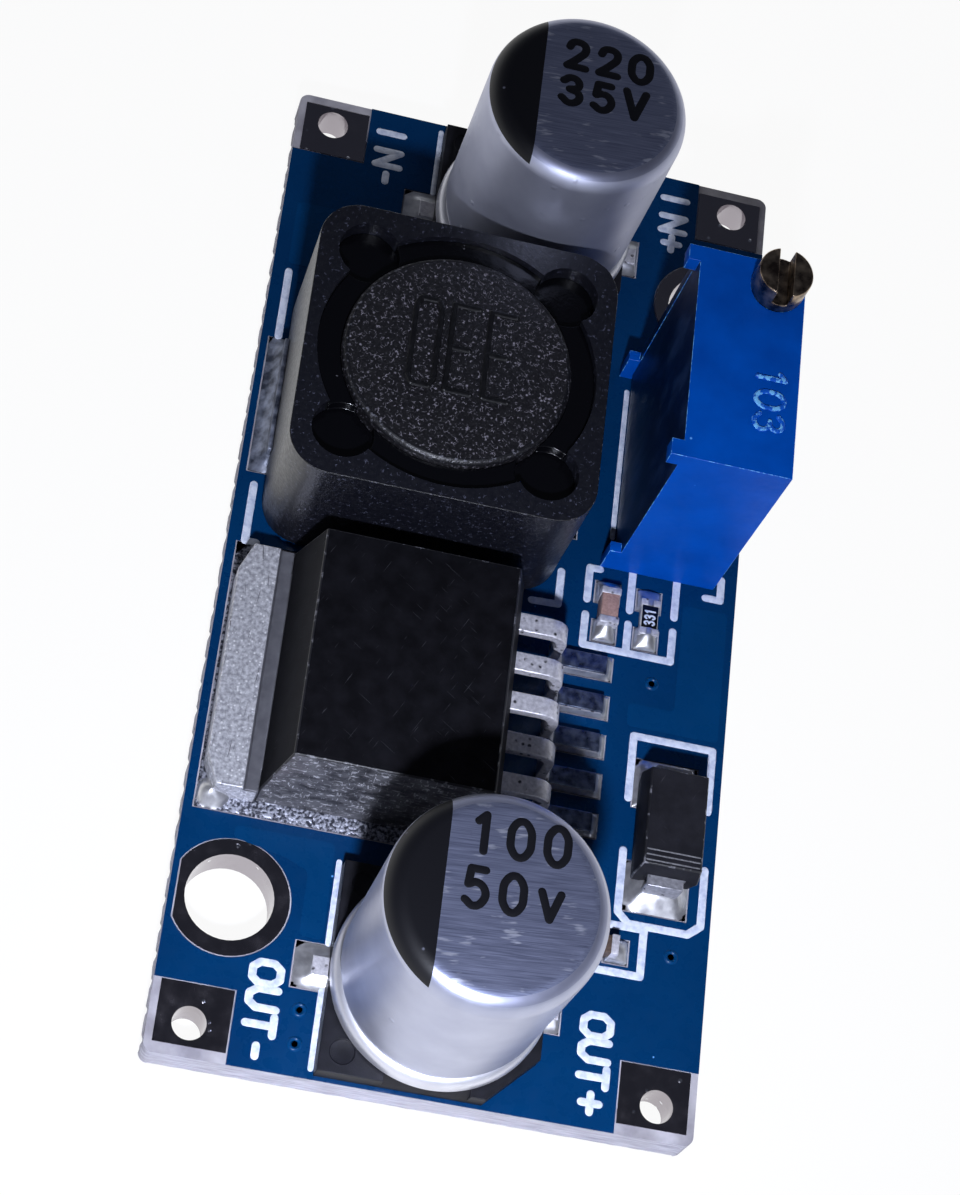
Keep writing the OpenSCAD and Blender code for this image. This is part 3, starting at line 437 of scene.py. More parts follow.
# A darker copy of the chip ceramic for the capacitor beside the can: painted shade
SHADED_SIDE_CERAMIC = ceramic_finish("shaded_side_ceramic", (92, 76, 66), (66, 54, 48), 0.45)
WHITE_CERAMIC = ceramic_finish("white_ceramic", (214, 212, 210), (186, 184, 184), 0.5)
GREY_PRINT = ceramic_finish("grey_print", (120, 120, 124), (92, 92, 96), 0.6)
GLAZE = ceramic_finish("glaze", (14, 14, 17), (8, 8, 10), 0.25)
TRIMMER_BLUE = trimmer_blue_finish()
WORN_HIGHLIT_BLUE = worn_highlit_finish("worn_highlit_blue", (0, 84, 192), (116, 190, 244), 0.2 * MM, 0.47)
POTTING = trimmer_resin_finish()
BRASS = brass_finish()
SILKSCREEN = silkscreen_finish()
WIRE = plain_part_finish("winding_copper", (190, 110, 60), (140, 72, 36), 0.35, 1.0)
RUBBER = plain_part_finish("seal_rubber", (30, 30, 33), (20, 20, 22), 0.6)
CARRIAGE = plain_part_finish("carriage_plastic", (226, 222, 210), (208, 202, 188), 0.5)
SPRING = plain_part_finish("spring_bronze", (206, 168, 100), (170, 132, 72), 0.3, 1.0)

# Reflowed solder: bright, with a slight frost
SOLDER = Finish("solder", metallic=0.88)
frost = SOLDER.clouded(0.35 * MM, 3.0, 0.3, 0.7, (196, 195, 198), (232, 231, 232), 0.002 * MM)
SOLDER.set("Roughness", SOLDER.between(frost, 0.35, 0.7, 0.33, 0.4))

# Feet wetted by solder: a mirror that ripples, its dark bluish colour a painted reflection
WETTED_PAINTED_REFLECTION = Finish("wetted_tin_painted_reflection", metallic=0.93)
ripple = WETTED_PAINTED_REFLECTION.clouded(0.3 * MM, 3.0, 0.35, 0.65, (76, 86, 110), (132, 142, 164), 0.03 * MM)
WETTED_PAINTED_REFLECTION.set("Roughness", WETTED_PAINTED_REFLECTION.between(ripple, 0.3, 0.7, 0.26, 0.46))

# Solder under dried flux: dull grey with milky patches
FLUXED = Finish("fluxed_solder", 0.4, 0.3)
FLUXED.clouded(0.5 * MM, 4.0, 0.35, 0.68, (48, 53, 66), (142, 148, 164), 0.04 * MM)

# Solder paste that melted thinly over a land: coarse bright grains on grey
REFLOWED = Finish("reflowed_strip", 0.4, 0.6)
REFLOWED.clouded(0.13 * MM, 3.0, 0.42, 0.6, (52, 54, 64), (172, 174, 186), 0.05 * MM)


# Making pieces

def dress(finish, *nodes):
    """Gives CAD nodes a finish and leaves their shape alone."""
    for node in nodes:
        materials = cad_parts[node].data.materials
        materials.clear()
        materials.append(finish.material)


def piece(name, bm, finishes, replaces=(), body="board"):
    """Turns a finished bmesh into a piece that rides on a body and may stand for CAD nodes."""
    mesh = bpy.data.meshes.new(name)
    bm.to_mesh(mesh)
    bm.free()
    for finish in finishes:
        mesh.materials.append(finish.material)
    mesh.shade_smooth()
    mesh.set_sharp_from_angle(angle=SHADED_SHARP)
    obj = bpy.data.objects.new(name, mesh)
    bpy.context.scene.collection.objects.link(obj)
    shading = obj.modifiers.new("even_shading", "WEIGHTED_NORMAL")
    shading.keep_sharp = True
    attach(obj, body)
    if replaces:
        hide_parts(*replaces)


def copy_of(node):
    """A CAD node's shape as one closed mesh with whole flat faces."""
    bm = bmesh.new()
    bm.from_mesh(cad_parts[node].data)
    bmesh.ops.remove_doubles(bm, verts=bm.verts, dist=MERGE)
    bmesh.ops.dissolve_limit(bm, angle_limit=FLAT, verts=bm.verts, edges=bm.edges)
    return bm


def softened(node, radius, segments=2, edge_index=0, within=None):
    """A CAD node's shape with its sharp edges rounded off, and the rounds in a finish of their own."""
    bm = copy_of(node)
    sharp = [e for e in bm.edges if len(e.link_faces) == 2 and e.calc_face_angle(0.0) > SHARP]
    if within:
        sharp = [e for e in sharp if all(within(v.co) for v in e.verts)]
    rounds = bmesh.ops.bevel(bm, geom=sharp, offset=radius, segments=segments, affect="EDGES",
                             profile=0.5, material=-1, clamp_overlap=True)["faces"]
    for face in rounds:
        face.material_index = edge_index
    return bm


def soft_piece(node, finishes, radius, segments=2, body="board"):
    """A node with rounded edges. A second finish, where there is one, goes on the edges."""
    bm = softened(node, radius, segments, len(finishes) - 1)
    piece(node + "_soft", bm, finishes, [node], body)


def solids_of(node):
    """Lowest and highest corner of each separate solid in a CAD node, along Y and then X."""
    bm = copy_of(node)
    left = set(bm.verts)
    boxes = []
    while left:
        front = [left.pop()]
        group = list(front)
        while front:
            near = [e.other_vert(v) for v in front for e in v.link_edges]
            front = [v for v in set(near) if v in left]
            left.difference_update(front)
            group += front
        boxes.append(tuple(
            Vector(pick(v.co[i] for v in group) for i in range(3)) for pick in (min, max)))
    bm.free()
    return sorted(boxes, key=lambda box: (round(box[0].y, 5), box[0].x))


def arc(radius, height, size, start, end, steps):
    """Points of a turned profile along an arc, as (radius, height), from one angle to another."""
    angles = [math.radians(start + (end - start) * i / steps) for i in range(steps + 1)]
    return [(radius + size * math.cos(a), height + size * math.sin(a)) for a in angles]


def turned(profile, axis, steps):
    """A shape turned round an upright axis from its profile."""
    bm = bmesh.new()
    verts = [bm.verts.new((axis.x + r, axis.y, z)) for r, z in profile]
    edges = [bm.edges.new(pair) for pair in zip(verts, verts[1:])]
    bmesh.ops.spin(bm, geom=verts + edges, cent=(axis.x, axis.y, 0), axis=(0, 0, 1),
                   angle=2 * math.pi, steps=steps, use_merge=True)
    bmesh.ops.remove_doubles(bm, verts=bm.verts, dist=MERGE)
    bmesh.ops.recalc_face_normals(bm, faces=bm.faces)
    return bm


def middle(box):
    return (box[0] + box[1]) / 2


def joined(parts):
    """Several bmeshes as one."""
    whole = bmesh.new()
    for part in parts:
        mesh = bpy.data.meshes.new("part")
        part.to_mesh(mesh)
        part.free()
        whole.from_mesh(mesh)
        bpy.data.meshes.remove(mesh)
    return whole


# Strokes of ink and relief

# Letters and figures as pen strokes in a cell one high: a "line" runs straight from point
# to point, a "curve" passes smoothly through its points, and a "loop" closes on itself
LETTERS = {
    "I": [("line", [(0.1, 1), (0.1, 0)])],
    "N": [("line", [(0, 0), (0, 1), (0.7, 0), (0.7, 1)])],
    "O": [("line", [(0.2, 0), (0.58, 0), (0.78, 0.25), (0.78, 0.75), (0.58, 1), (0.2, 1),
                    (0, 0.75), (0, 0.25), (0.2, 0)])],
    "U": [("line", [(0, 1), (0, 0.28), (0.2, 0), (0.5, 0), (0.7, 0.28), (0.7, 1)])],
    "T": [("line", [(0, 1), (0.66, 1)]), ("line", [(0.33, 1), (0.33, 0)])],
    "V": [("line", [(0, 1), (0.33, 0), (0.66, 1)])],
    "v": [("line", [(0.04, 0.72), (0.33, 0), (0.62, 0.72)])],
    "+": [("line", [(0, 0.5), (0.66, 0.5)]), ("line", [(0.33, 0.17), (0.33, 0.83)])],
    "-": [("line", [(0.12, 0.5), (0.5, 0.5)])],
    "0": [("loop", [(0.31, 1), (0.56, 0.82), (0.62, 0.5), (0.56, 0.18), (0.31, 0),
                    (0.06, 0.18), (0, 0.5), (0.06, 0.82)])],
    "1": [("line", [(0.12, 0.8), (0.34, 1), (0.34, 0)])],
    "2": [("curve", [(0.03, 0.76), (0.12, 0.94), (0.32, 1), (0.54, 0.9), (0.57, 0.68), (0.4, 0.42), (0, 0)]),
          ("line", [(0, 0), (0.62, 0)])],
    "3": [("curve", [(0.04, 0.84), (0.28, 1), (0.54, 0.88), (0.52, 0.64), (0.26, 0.54)]),
          ("curve", [(0.26, 0.54), (0.56, 0.43), (0.59, 0.18), (0.3, 0), (0.02, 0.17)])],
    # A three and a nought as they are pressed, with square shoulders
    "E": [("line", [(0, 1), (0.62, 1), (0.62, 0), (0, 0)]), ("line", [(0.14, 0.5), (0.62, 0.5)])],
    "D": [("line", [(0.1, 0), (0.52, 0), (0.62, 0.08), (0.62, 0.92), (0.52, 1), (0.1, 1),
                    (0, 0.92), (0, 0.08), (0.1, 0)])],
    "5": [("line", [(0.55, 1), (0.12, 1), (0.07, 0.56)]),
          ("curve", [(0.07, 0.56), (0.32, 0.64), (0.57, 0.48), (0.57, 0.2), (0.3, 0), (0.02, 0.14)])],
}


def stroke_ends(strokes):
    return [point for kind, points in strokes if kind != "loop"
            for point in (points if kind == "line" else (points[0], points[-1]))]


def strokes_mesh(strokes, width, height):
    """Rounded ribbons of ink along strokes on the flat, standing a height above it."""
    curve = bpy.data.curves.new("pen", "CURVE")
    curve.dimensions = "3D"
    curve.bevel_depth = width / 2
    curve.bevel_resolution = 2
    curve.resolution_u = 6
    curve.use_fill_caps = True
    for kind, points in strokes:
        runs = list(zip(points, points[1:])) if kind == "line" else [points]
        for run in runs:
            spline = curve.splines.new("POLY" if kind == "line" else "BEZIER")
            if kind == "line":
                spline.points.add(len(run) - 1)
                for knot, (x, y) in zip(spline.points, run):
                    knot.co = (x, y, 0, 1)
                continue
            spline.bezier_points.add(len(run) - 1)
            spline.use_cyclic_u = kind == "loop"
            for knot, (x, y) in zip(spline.bezier_points, run):
                knot.co = (x, y, 0)
                knot.handle_left_type = knot.handle_right_type = "AUTO"
    pen = bpy.data.objects.new("pen", curve)
    bpy.context.scene.collection.objects.link(pen)
    drawn = bpy.data.meshes.new_from_object(pen.evaluated_get(bpy.context.evaluated_depsgraph_get()))
    bm = bmesh.new()
    bm.from_mesh(drawn)
    bpy.data.objects.remove(pen)
    bpy.data.curves.remove(curve)
    bpy.data.meshes.remove(drawn)
    for x, y in set(stroke_ends(strokes)):
        bmesh.ops.create_uvsphere(bm, u_segments=12, v_segments=6, radius=width / 2,
                                  matrix=Matrix.Translation((x, y, 0)))
    bmesh.ops.scale(bm, vec=(1, 1, 2 * height / width), verts=bm.verts)
    return bm


def lettering(text, size, pitch, squeeze=1.0):
    """Strokes of a row of letters, each in a cell of that pitch, from x 0 on the baseline."""
    wide = size * squeeze
    return [(kind, [(i * pitch + wide * x, size * y) for x, y in points])
            for i, letter in enumerate(text) for kind, points in LETTERS[letter]]


def laid_at(bm, place, along=(1, 0, 0), up=(0, 1, 0)):
    """Moves a flat drawing to its place, with its x axis along one way and its y axis up another."""
    along, up = Vector(along), Vector(up)
    matrix = Matrix((along, up, along.cross(up))).transposed().to_4x4()
    bmesh.ops.transform(bm, matrix=Matrix.Translation(place) @ matrix, verts=bm.verts)
    return bm


# Board

EDGE_STEP = 0.22 * MM
EDGE_ROUGHNESS = 0.05 * MM
EDGE_LUMP = 0.5 * MM
EDGE_ROWS = 4
BITE_PITCH = 1.12 * MM
BITE_WIDTH = 0.36 * MM
BITE_DEPTH = 0.14 * MM
MASK_SETBACK = 0.22 * MM
EDGES = ((0, BOARD_LOW.x), (0, BOARD_HIGH.x), (1, BOARD_LOW.y), (1, BOARD_HIGH.y))


def inwards(axis, level):
    return 1 if level == BOARD_LOW[axis] else -1


def cut_depth(point):
    """How far the saw has taken the board's edge back at a point of it."""
    rough = EDGE_ROUGHNESS * (0.5 + 0.5 * noise.noise(point / EDGE_LUMP))
    if point.x > BOARD_LOW.x + MERGE or point.z > middle((BOARD_LOW, BOARD_HIGH)).z:
        return rough
    off = abs((point.y / BITE_PITCH) % 1 - 0.5) * BITE_PITCH
    return rough + BITE_DEPTH * max(0.0, 1 - off / BITE_WIDTH * 2)


def cut_laminate():
    """The laminate with roughly broken edges, nicked along the side that was perforated."""
    bm = copy_of("board_laminate")

    def on_edge(element, axis, level):
        return all(abs(v.co[axis] - level) < MERGE for v in element.verts)

    for axis, level in EDGES:
        sides = [f for f in bm.faces if on_edge(f, axis, level)]
        runs = {e for f in sides for e in f.edges
                if abs(e.verts[0].co[1 - axis] - e.verts[1].co[1 - axis]) > MERGE}
        cuts = int(max(e.calc_length() for e in runs) / EDGE_STEP)
        bmesh.ops.subdivide_edges(bm, edges=list(runs), cuts=cuts, use_grid_fill=True)
        walls = [f for f in bm.faces if on_edge(f, axis, level)]
        drops = {e for f in walls for e in f.edges if abs(e.verts[0].co.z - e.verts[1].co.z) > MERGE}
        bmesh.ops.subdivide_edges(bm, edges=list(drops), cuts=EDGE_ROWS, use_grid_fill=True)
    for vert in bm.verts:
        for axis, level in EDGES:
            if abs(vert.co[axis] - level) < MERGE and vert.co.z < BOARD_HIGH.z - MERGE:
                vert.co[axis] += inwards(axis, level) * cut_depth(vert.co)
                break
    return bm


def set_back_mask():
    """The lower mask, which stops a little short of the broken edge."""
    bm = copy_of("solder_mask_bottom")
    for vert in bm.verts:
        for axis, level in EDGES:
            if abs(vert.co[axis] - level) < MASK_SETBACK:
                vert.co[axis] = level + inwards(axis, level) * MASK_SETBACK
    return bm


piece("laminate_cut", cut_laminate(), [LAMINATE], ["board_laminate"])
piece("mask_set_back", set_back_mask(), [SOLDER_MASK], ["solder_mask_bottom"])
dress(SOLDER_MASK, "solder_mask_top")
dress(TIN, "component_lands", "mounting_ring_upper", "mounting_ring_lower",
      "terminal_in_plus", "terminal_in_minus", "terminal_out_plus", "terminal_out_minus")

# Copper areas that show through the mask, in millimetres from the board's middle
POURS = [
    [(-8.4, -12.2), (-4.5, -12.2), (-4.5, -16.1), (-5.4, -16.1), (-5.4, -13.5), (-6.4, -13.1),
     (-8.4, -12.7)],
    [(8.3, 0.9), (10.2, 0.9), (10.2, -4.9), (6.4, -4.9), (6.4, -3.9), (8.3, -3.9)],
    [(-9.9, 16.0), (-5.6, 16.0), (-5.6, 12.9), (-9.9, 12.9)],
]
POUR_RISE = 0.012 * MM
POUR_CORNER = 0.2 * MM


def mask_on_copper():
    """Low plateaus where the mask runs over copper."""
    parts = []
    for corners in POURS:
        bm = bmesh.new()
        face = bm.faces.new([bm.verts.new((x * MM, y * MM, BOARD_TOP)) for x, y in corners])
        bmesh.ops.bevel(bm, geom=face.verts[:], offset=POUR_CORNER, segments=6, affect="VERTICES",
                        profile=0.5, material=-1)
        risen = bmesh.ops.extrude_face_region(bm, geom=bm.faces[:])["geom"]
        lid = [v for v in risen if isinstance(v, bmesh.types.BMVert)]
        bmesh.ops.translate(bm, vec=(0, 0, POUR_RISE), verts=lid)
        bmesh.ops.recalc_face_normals(bm, faces=bm.faces)
        parts.append(bm)
    return joined(parts)


piece("mask_on_copper", mask_on_copper(), [MASK_ON_COPPER])

# Silkscreen lines on the board's top, in millimetres from its middle
PART_LINES = [
    [(-9.8, 9.3), (-9.8, 12.5)],
    [(-9.8, 2.3), (-9.8, -0.25), (-9.35, -0.25)],
    [(3.1, 1.3), (3.1, -0.2), (2.0, -0.25)],
    [(9.83, 2.4), (9.83, 1.45), (9.2, 1.45)],
    [(4.7, 1.75), (4.27, 1.75), (4.27, 0.3)],
    [(4.27, -0.38), (4.27, -1.74), (7.96, -1.74), (7.96, -0.38)],
    [(7.96, 0.25), (7.96, 2.2)],
    [(6.08, -0.44), (6.08, -1.74)],
    [(6.08, 0.17), (6.08, 2.2)],
    [(6.75, -7.97), (6.75, -5.28), (10.03, -5.28), (10.03, -7.92)],
    [(6.75, -10.2), (6.75, -12.75), (7.2, -13.17), (9.6, -13.17), (10.1, -12.75), (10.1, -10.4)],
    [(5.0, -13.32), (7.86, -13.32), (7.86, -15.23), (5.4, -15.23)],
]
FINE_LINES = [[(-4.27, end * a), (-4.27, end * b)]
              for end in (-1, 1) for a, b in ((12.9, 16.2), (17.9, 21.1))]
FINE_LINES.append([(5.07, 10.3), (5.07, 3.3)])
PART_LINE_WIDTH = 0.32 * MM
FINE_LINE_WIDTH = 0.22 * MM
SILK_HEIGHT = 0.022 * MM

# Wire labels: text, and where its first letter's foot starts; they read towards -Y
LABELS = [("OUT+", (5.84, -17.07)), ("OUT-", (-6.92, -17.37)),
          ("IN+", (5.84, 20.55)), ("IN-", (-6.92, 20.55))]
LABEL_SIZE = 1.06 * MM
LABEL_PITCH = 1.03 * MM
LABEL_STROKE = 0.31 * MM


def silkscreen():
    """White outlines of the parts and labels of the wires."""
    parts = []
    for lines, width in ((PART_LINES, PART_LINE_WIDTH), (FINE_LINES, FINE_LINE_WIDTH)):
        strokes = [("line", [(x * MM, y * MM) for x, y in points]) for points in lines]
        drawn = strokes_mesh(strokes, width, SILK_HEIGHT)
        parts.append(laid_at(drawn, (0, 0, BOARD_TOP)))
    for text, (x, y) in LABELS:
        drawn = strokes_mesh(lettering(text, LABEL_SIZE, LABEL_PITCH), LABEL_STROKE, SILK_HEIGHT)
        parts.append(laid_at(drawn, (x * MM, y * MM, BOARD_TOP), (0, -1, 0), (1, 0, 0)))
    return joined(parts)


piece("silkscreen", silkscreen(), [SILKSCREEN])

# Vias under the mask, in millimetres from the board's middle
VIAS = [(-4.98, -18.95), (-4.98, -20.27), (9.02, -14.2), (7.28, -2.87)]
VIA_R = 0.3 * MM
VIA_HOLE_R = 0.12 * MM
VIA_RISE = 0.06 * MM
VIA_RINGS = 6
VIA_STEPS = 24


def tented_vias():
    """Small rims where the mask sags into a via, with the middle painted dark as the shade of its hole."""
    shares = [i / VIA_RINGS for i in range(VIA_RINGS + 1)]
    rim = [(VIA_HOLE_R + (VIA_R - VIA_HOLE_R) * share, BOARD_TOP + VIA_RISE * math.sin(math.pi * share))
           for share in shares]
    profile = [(0, BOARD_TOP)] + rim
    bm = joined([turned(profile, Vector((x * MM, y * MM, 0)), VIA_STEPS) for x, y in VIAS])
    for face in bm.faces:
        # The flat middle takes the dark finish: painted shade of the hole
        face.material_index = int(max(v.co.z for v in face.verts) < BOARD_TOP + MERGE)
    return bm


piece("tented_vias", tented_vias(), [MASK_ON_COPPER, VIA_HOLE_SHADE])


# Electrolytic capacitors

CAN_TOP_R = 0.85 * MM
CAN_FOOT_R = 0.2 * MM
BEAD_PROUD = 0.12 * MM
BEAD_R = 0.44 * MM
BEAD_TOP = 0.95 * MM
# Crimp above the bead: how far it lies inside the can's side, and how high above the foot
CRIMP = [(0.18, 0.97), (0.17, 1.06), (0.12, 1.22), (0.06, 1.42)]
CAN_STEPS = 144
INK_EDGE_X = -2.07 * MM
INK_HEIGHT = 0.012 * MM
SIDE, TOP, INK, SHADED_RIM, HIGHLIT_BEAD = range(5)
# How far the skin faces up where ink, rim and brushed top begin
INK_RISE, RIM_RISE, TOP_RISE = 0.35, 0.7, 0.96


def can(node, side):
    """An aluminium can, turned with its bead, crimp and rounded top, and inked on the negative side."""
    low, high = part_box(node)
    axis = middle((low, high))
    r = (high.x - low.x) / 2
    bead = r + BEAD_PROUD
    profile = [(0, low.z)]
    profile += arc(bead - CAN_FOOT_R, low.z + CAN_FOOT_R, CAN_FOOT_R, -90, 0, 6)
    profile += arc(bead - BEAD_R, low.z + BEAD_TOP - BEAD_R, BEAD_R, 0, 70, 10)
    profile += [(r - inside * MM, low.z + height * MM) for inside, height in CRIMP]
    profile += arc(r - CAN_TOP_R, high.z - CAN_TOP_R, CAN_TOP_R, 0, 90, 14)
    profile += [(0, high.z)]
    bm = turned(profile, axis, CAN_STEPS)
    cut = bm.verts[:] + bm.edges[:] + bm.faces[:]
    ink_x = axis.x + INK_EDGE_X
    bmesh.ops.bisect_plane(bm, geom=cut, plane_co=(ink_x, 0, 0), plane_no=(1, 0, 0), dist=CUT_TOLERANCE)
    for face in bm.faces:
        spot = face.calc_center_median()
        rise = face.normal.z
        # Bead faces take the lighter copy of the metal: a painted highlight
        if spot.z < low.z + BEAD_TOP:
            face.material_index = HIGHLIT_BEAD
        elif spot.z > high.z - CAN_TOP_R and spot.x < ink_x:
            face.material_index = INK if rise > INK_RISE else SIDE
        # Rim faces take the darker copy of the metal: painted shade
        elif spot.z > high.z - CAN_TOP_R and rise > RIM_RISE:
            face.material_index = TOP if rise > TOP_RISE else SHADED_RIM
    piece(node + "_turned", bm, [side, CAN_TOP, CAN_INK, CAN_RIM_PAINTED_SHADE, CAN_BEAD_PAINTED_HIGHLIGHT], [node])


def can_rating(node, rows, size, pitch, stroke, squeeze):
    """Figures on a can's top: each row's text, start and middle, in millimetres from the can's axis."""
    low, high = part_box(node)
    axis = middle((low, high))
    parts = []
    for text, start_x, mid_y in rows:
        drawn = strokes_mesh(lettering(text, size, pitch, squeeze), stroke, INK_HEIGHT)
        place = (axis.x + start_x * MM, axis.y + mid_y * MM - size / 2, high.z)
        parts.append(laid_at(drawn, place))
    piece(node + "_rating", joined(parts), [CAN_INK])


can("input_cap_can", SPOTTED_CAN)
can("output_cap_can", CAN_SIDE)
can_rating("input_cap_can", [("220", -1.15, 1.82), ("35V", -1.25, 0.04)],
           1.22 * MM, 1.32 * MM, 0.34 * MM, 1.0)
can_rating("output_cap_can", [("100", -1.25, 2.25), ("50v", -1.32, 0.2)],
           1.36 * MM, 1.33 * MM, 0.3 * MM, 0.88)
for end in ("input", "output"):
    soft_piece(end + "_cap_base", [BASE], 0.05 * MM)
    soft_piece(end + "_cap_leads", [LEAD], 0.05 * MM)


# Inductor

FIGURE_SIZE = 3.9 * MM
FIGURE_PITCH = 1.5 * MM
FIGURE_SQUEEZE = 0.42
FIGURE_STROKE = 0.24 * MM
FIGURE_RISE = 0.09 * MM
FIGURE_START = Vector((2.1, 0.45, 0)) * MM
SHIELD_ROUND = 0.12 * MM
ROUNDED_BAND = 0.35 * MM
WORN_HIGHLIT_BAND = 0.5 * MM

soft_piece("inductor_drum", [DRUM, WORN_HIGHLIT_FERRITE], 0.07 * MM)
soft_piece("inductor_filler", [RESIN], 0.05 * MM)
soft_piece("inductor_clips", [FLUXED], 0.05 * MM)
dress(WIRE, "inductor_winding")


def inductor_shield():
    """The shield, worn and painted with a highlight along its outer top edge, with the bore's edges left
    sharp.
    """
    low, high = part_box("inductor_shield")
    axis = middle((low, high))
    inner = (high.x - low.x) / 2 - ROUNDED_BAND

    def outside(spot):
        return max(abs(spot.x - axis.x), abs(spot.y - axis.y)) > inner

    bm = softened("inductor_shield", SHIELD_ROUND, 3, 1, outside)
    for face in bm.faces:
        if face.calc_center_median().z < high.z - WORN_HIGHLIT_BAND:
            face.material_index = 0
    return bm


piece("inductor_shield_soft", inductor_shield(), [SHIELD, WORN_HIGHLIT_FERRITE], ["inductor_shield"])


def drum_figures():
    """Value figures pressed in the drum's top, read from the input end, with their dark colour painted shade.
    """
    low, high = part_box("inductor_drum")
    axis = middle((low, high))
    row = lettering("EED", FIGURE_SIZE, FIGURE_PITCH, FIGURE_SQUEEZE)
    drawn = strokes_mesh(row, FIGURE_STROKE, FIGURE_RISE)
    place = (axis.x + FIGURE_START.x, axis.y + FIGURE_START.y + FIGURE_SIZE / 2, high.z)
    return laid_at(drawn, place, (-1, 0, 0), (0, -1, 0))


piece("drum_figures", drum_figures(), [FIGURE_PAINTED_SHADE])


# Converter

TAB_STEP_W = 0.6 * MM
FOOT_RUN = 1.9 * MM
FOOT_DROP = 0.6 * MM
FACING = 0.95


def converter_body():
    """The moulded body, with its side towards the output end scuffed and painted lighter as a sheen."""
    bm = softened("converter_body", 0.07 * MM, 2, 2)
    for face in bm.faces:
        if face.normal.y < -FACING:
            face.material_index = 1
    return bm


def converter_tab():
    """The metal tab, with its step along the body in a darker finish."""
    bm = softened("converter_tab", 0.07 * MM)
    step_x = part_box("converter_body")[0].x - TAB_STEP_W
    for face in bm.faces:
        face.material_index = int(face.calc_center_median().x > step_x)
    return bm


def converter_leads():
    """Five leads, with their feet wetted by solder."""
    bm = softened("converter_leads", 0.06 * MM)
    low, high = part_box("converter_leads")
    for face in bm.faces:
        spot = face.calc_center_median()
        down = spot.z < middle((low, high)).z - FOOT_DROP
        face.material_index = int(down and spot.x > high.x - FOOT_RUN)
    return bm


piece("converter_body_soft", converter_body(), [MOULD, SCUFFED_SHEEN, WORN_HIGHLIT_MOULD], ["converter_body"])
piece("converter_tab_soft", converter_tab(), [TAB, DARKER_TAB_STRIP], ["converter_tab"])
piece("converter_leads_soft", converter_leads(), [LEAD, WETTED_PAINTED_REFLECTION], ["converter_leads"])


# Diode

soft_piece("diode_body", [DIODE_MOULD_SHEEN, WORN_HIGHLIT_MOULD], 0.06 * MM)
soft_piece("diode_leads", [DIODE_LEAD_SHADED], 0.05 * MM)


# Cathode lines: how far each lies from the end, and what is left bare beside it
CATHODE_ROWS = [(0.3 + 0.22 * i) * MM for i in range(3)]
CATHODE_MARGIN = 0.25 * MM
CATHODE_STROKE = 0.06 * MM
CATHODE_RISE = 0.01 * MM


def cathode_lines():
    """Thin lines across the diode's top, at its cathode end."""
    low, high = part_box("diode_body")
    left, right = low.x + CATHODE_MARGIN, high.x - CATHODE_MARGIN
    lines = [("line", [(left, low.y + row), (right, low.y + row)]) for row in CATHODE_ROWS]
    drawn = strokes_mesh(lines, CATHODE_STROKE, CATHODE_RISE)
    return laid_at(drawn, (0, 0, high.z))


piece("cathode_lines", cathode_lines(), [GREY_PRINT])


# Chip parts

GLAZE_SHARE = 0.92

for chip, ceramic in (("chip_capacitor", CHIP_CERAMIC), ("side_capacitor", SHADED_SIDE_CERAMIC)):
    soft_piece(chip + "_body", [ceramic], 0.04 * MM)
    soft_piece(chip + "_ends", [LEAD], 0.05 * MM)
soft_piece("chip_resistor_body", [WHITE_CERAMIC], 0.03 * MM)
soft_piece("chip_resistor_ends", [LEAD], 0.04 * MM)


def resistor_glaze():
    """The glaze, which leaves a white edge of the body along each side."""
    bm = softened("chip_resistor_glaze", 0.012 * MM)
    axis = middle(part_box("chip_resistor_glaze"))
    bmesh.ops.scale(bm, vec=(GLAZE_SHARE, 1, 1), space=Matrix.Translation(-axis), verts=bm.verts)
    return bm


piece("chip_resistor_glaze_soft", resistor_glaze(), [GLAZE], ["chip_resistor_glaze"])


def resistor_figures():
    """Value figures on the resistor's glaze, read from the board's positive side."""
    low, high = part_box("chip_resistor_glaze")
    axis = middle((low, high))
    size, pitch, squeeze = 0.41 * MM, 0.26 * MM, 0.6
    stroke, rise = 0.08 * MM, 0.008 * MM
    drawn = strokes_mesh(lettering("331", size, pitch, squeeze), stroke, rise)
    place = (axis.x + size / 2, axis.y - 1.4 * pitch, high.z)
    return laid_at(drawn, place, (0, 1, 0), (-1, 0, 0))


piece("resistor_figures", resistor_figures(), [SILKSCREEN])


# Trimmer

POTTING_RISE = 0.14 * MM
POTTING_SKIN = 0.06 * MM
NUB_DEPTH = 0.2 * MM

soft_piece("trimmer_screw", [BRASS], 0.06 * MM, 2, "adjusting_screw")
soft_piece("trimmer_pins", [LEAD], 0.04 * MM)
dress(WHITE_CERAMIC, "trimmer_element")
dress(RUBBER, "trimmer_seal")
dress(LEAD, "trimmer_clip")
dress(CARRIAGE, "trimmer_carriage")
dress(SPRING, "trimmer_wiper")


def trimmer_housing():
    """The housing, with potting run over the rim of its open side and clean corner nubs."""
    bm = softened("trimmer_housing", 0.1 * MM, 3, 1)
    nub_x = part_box("trimmer_housing")[0].x
    for face in bm.faces:
        if face.normal.x < -FACING and face.calc_center_median().x > nub_x + NUB_DEPTH:
            face.material_index = 2
    return bm


def trimmer_resin():
    """The potting, filled up to the rim of the open side."""
    bm = softened("trimmer_resin", 0.05 * MM)
    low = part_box("trimmer_resin")[0]
    for vert in bm.verts:
        if vert.co.x < low.x + POTTING_SKIN:
            vert.co.x -= POTTING_RISE
    return bm


piece("trimmer_resin_soft", trimmer_resin(), [POTTING], ["trimmer_resin"])
piece("trimmer_housing_soft", trimmer_housing(), [TRIMMER_BLUE, WORN_HIGHLIT_BLUE, POTTING],
      ["trimmer_housing"])


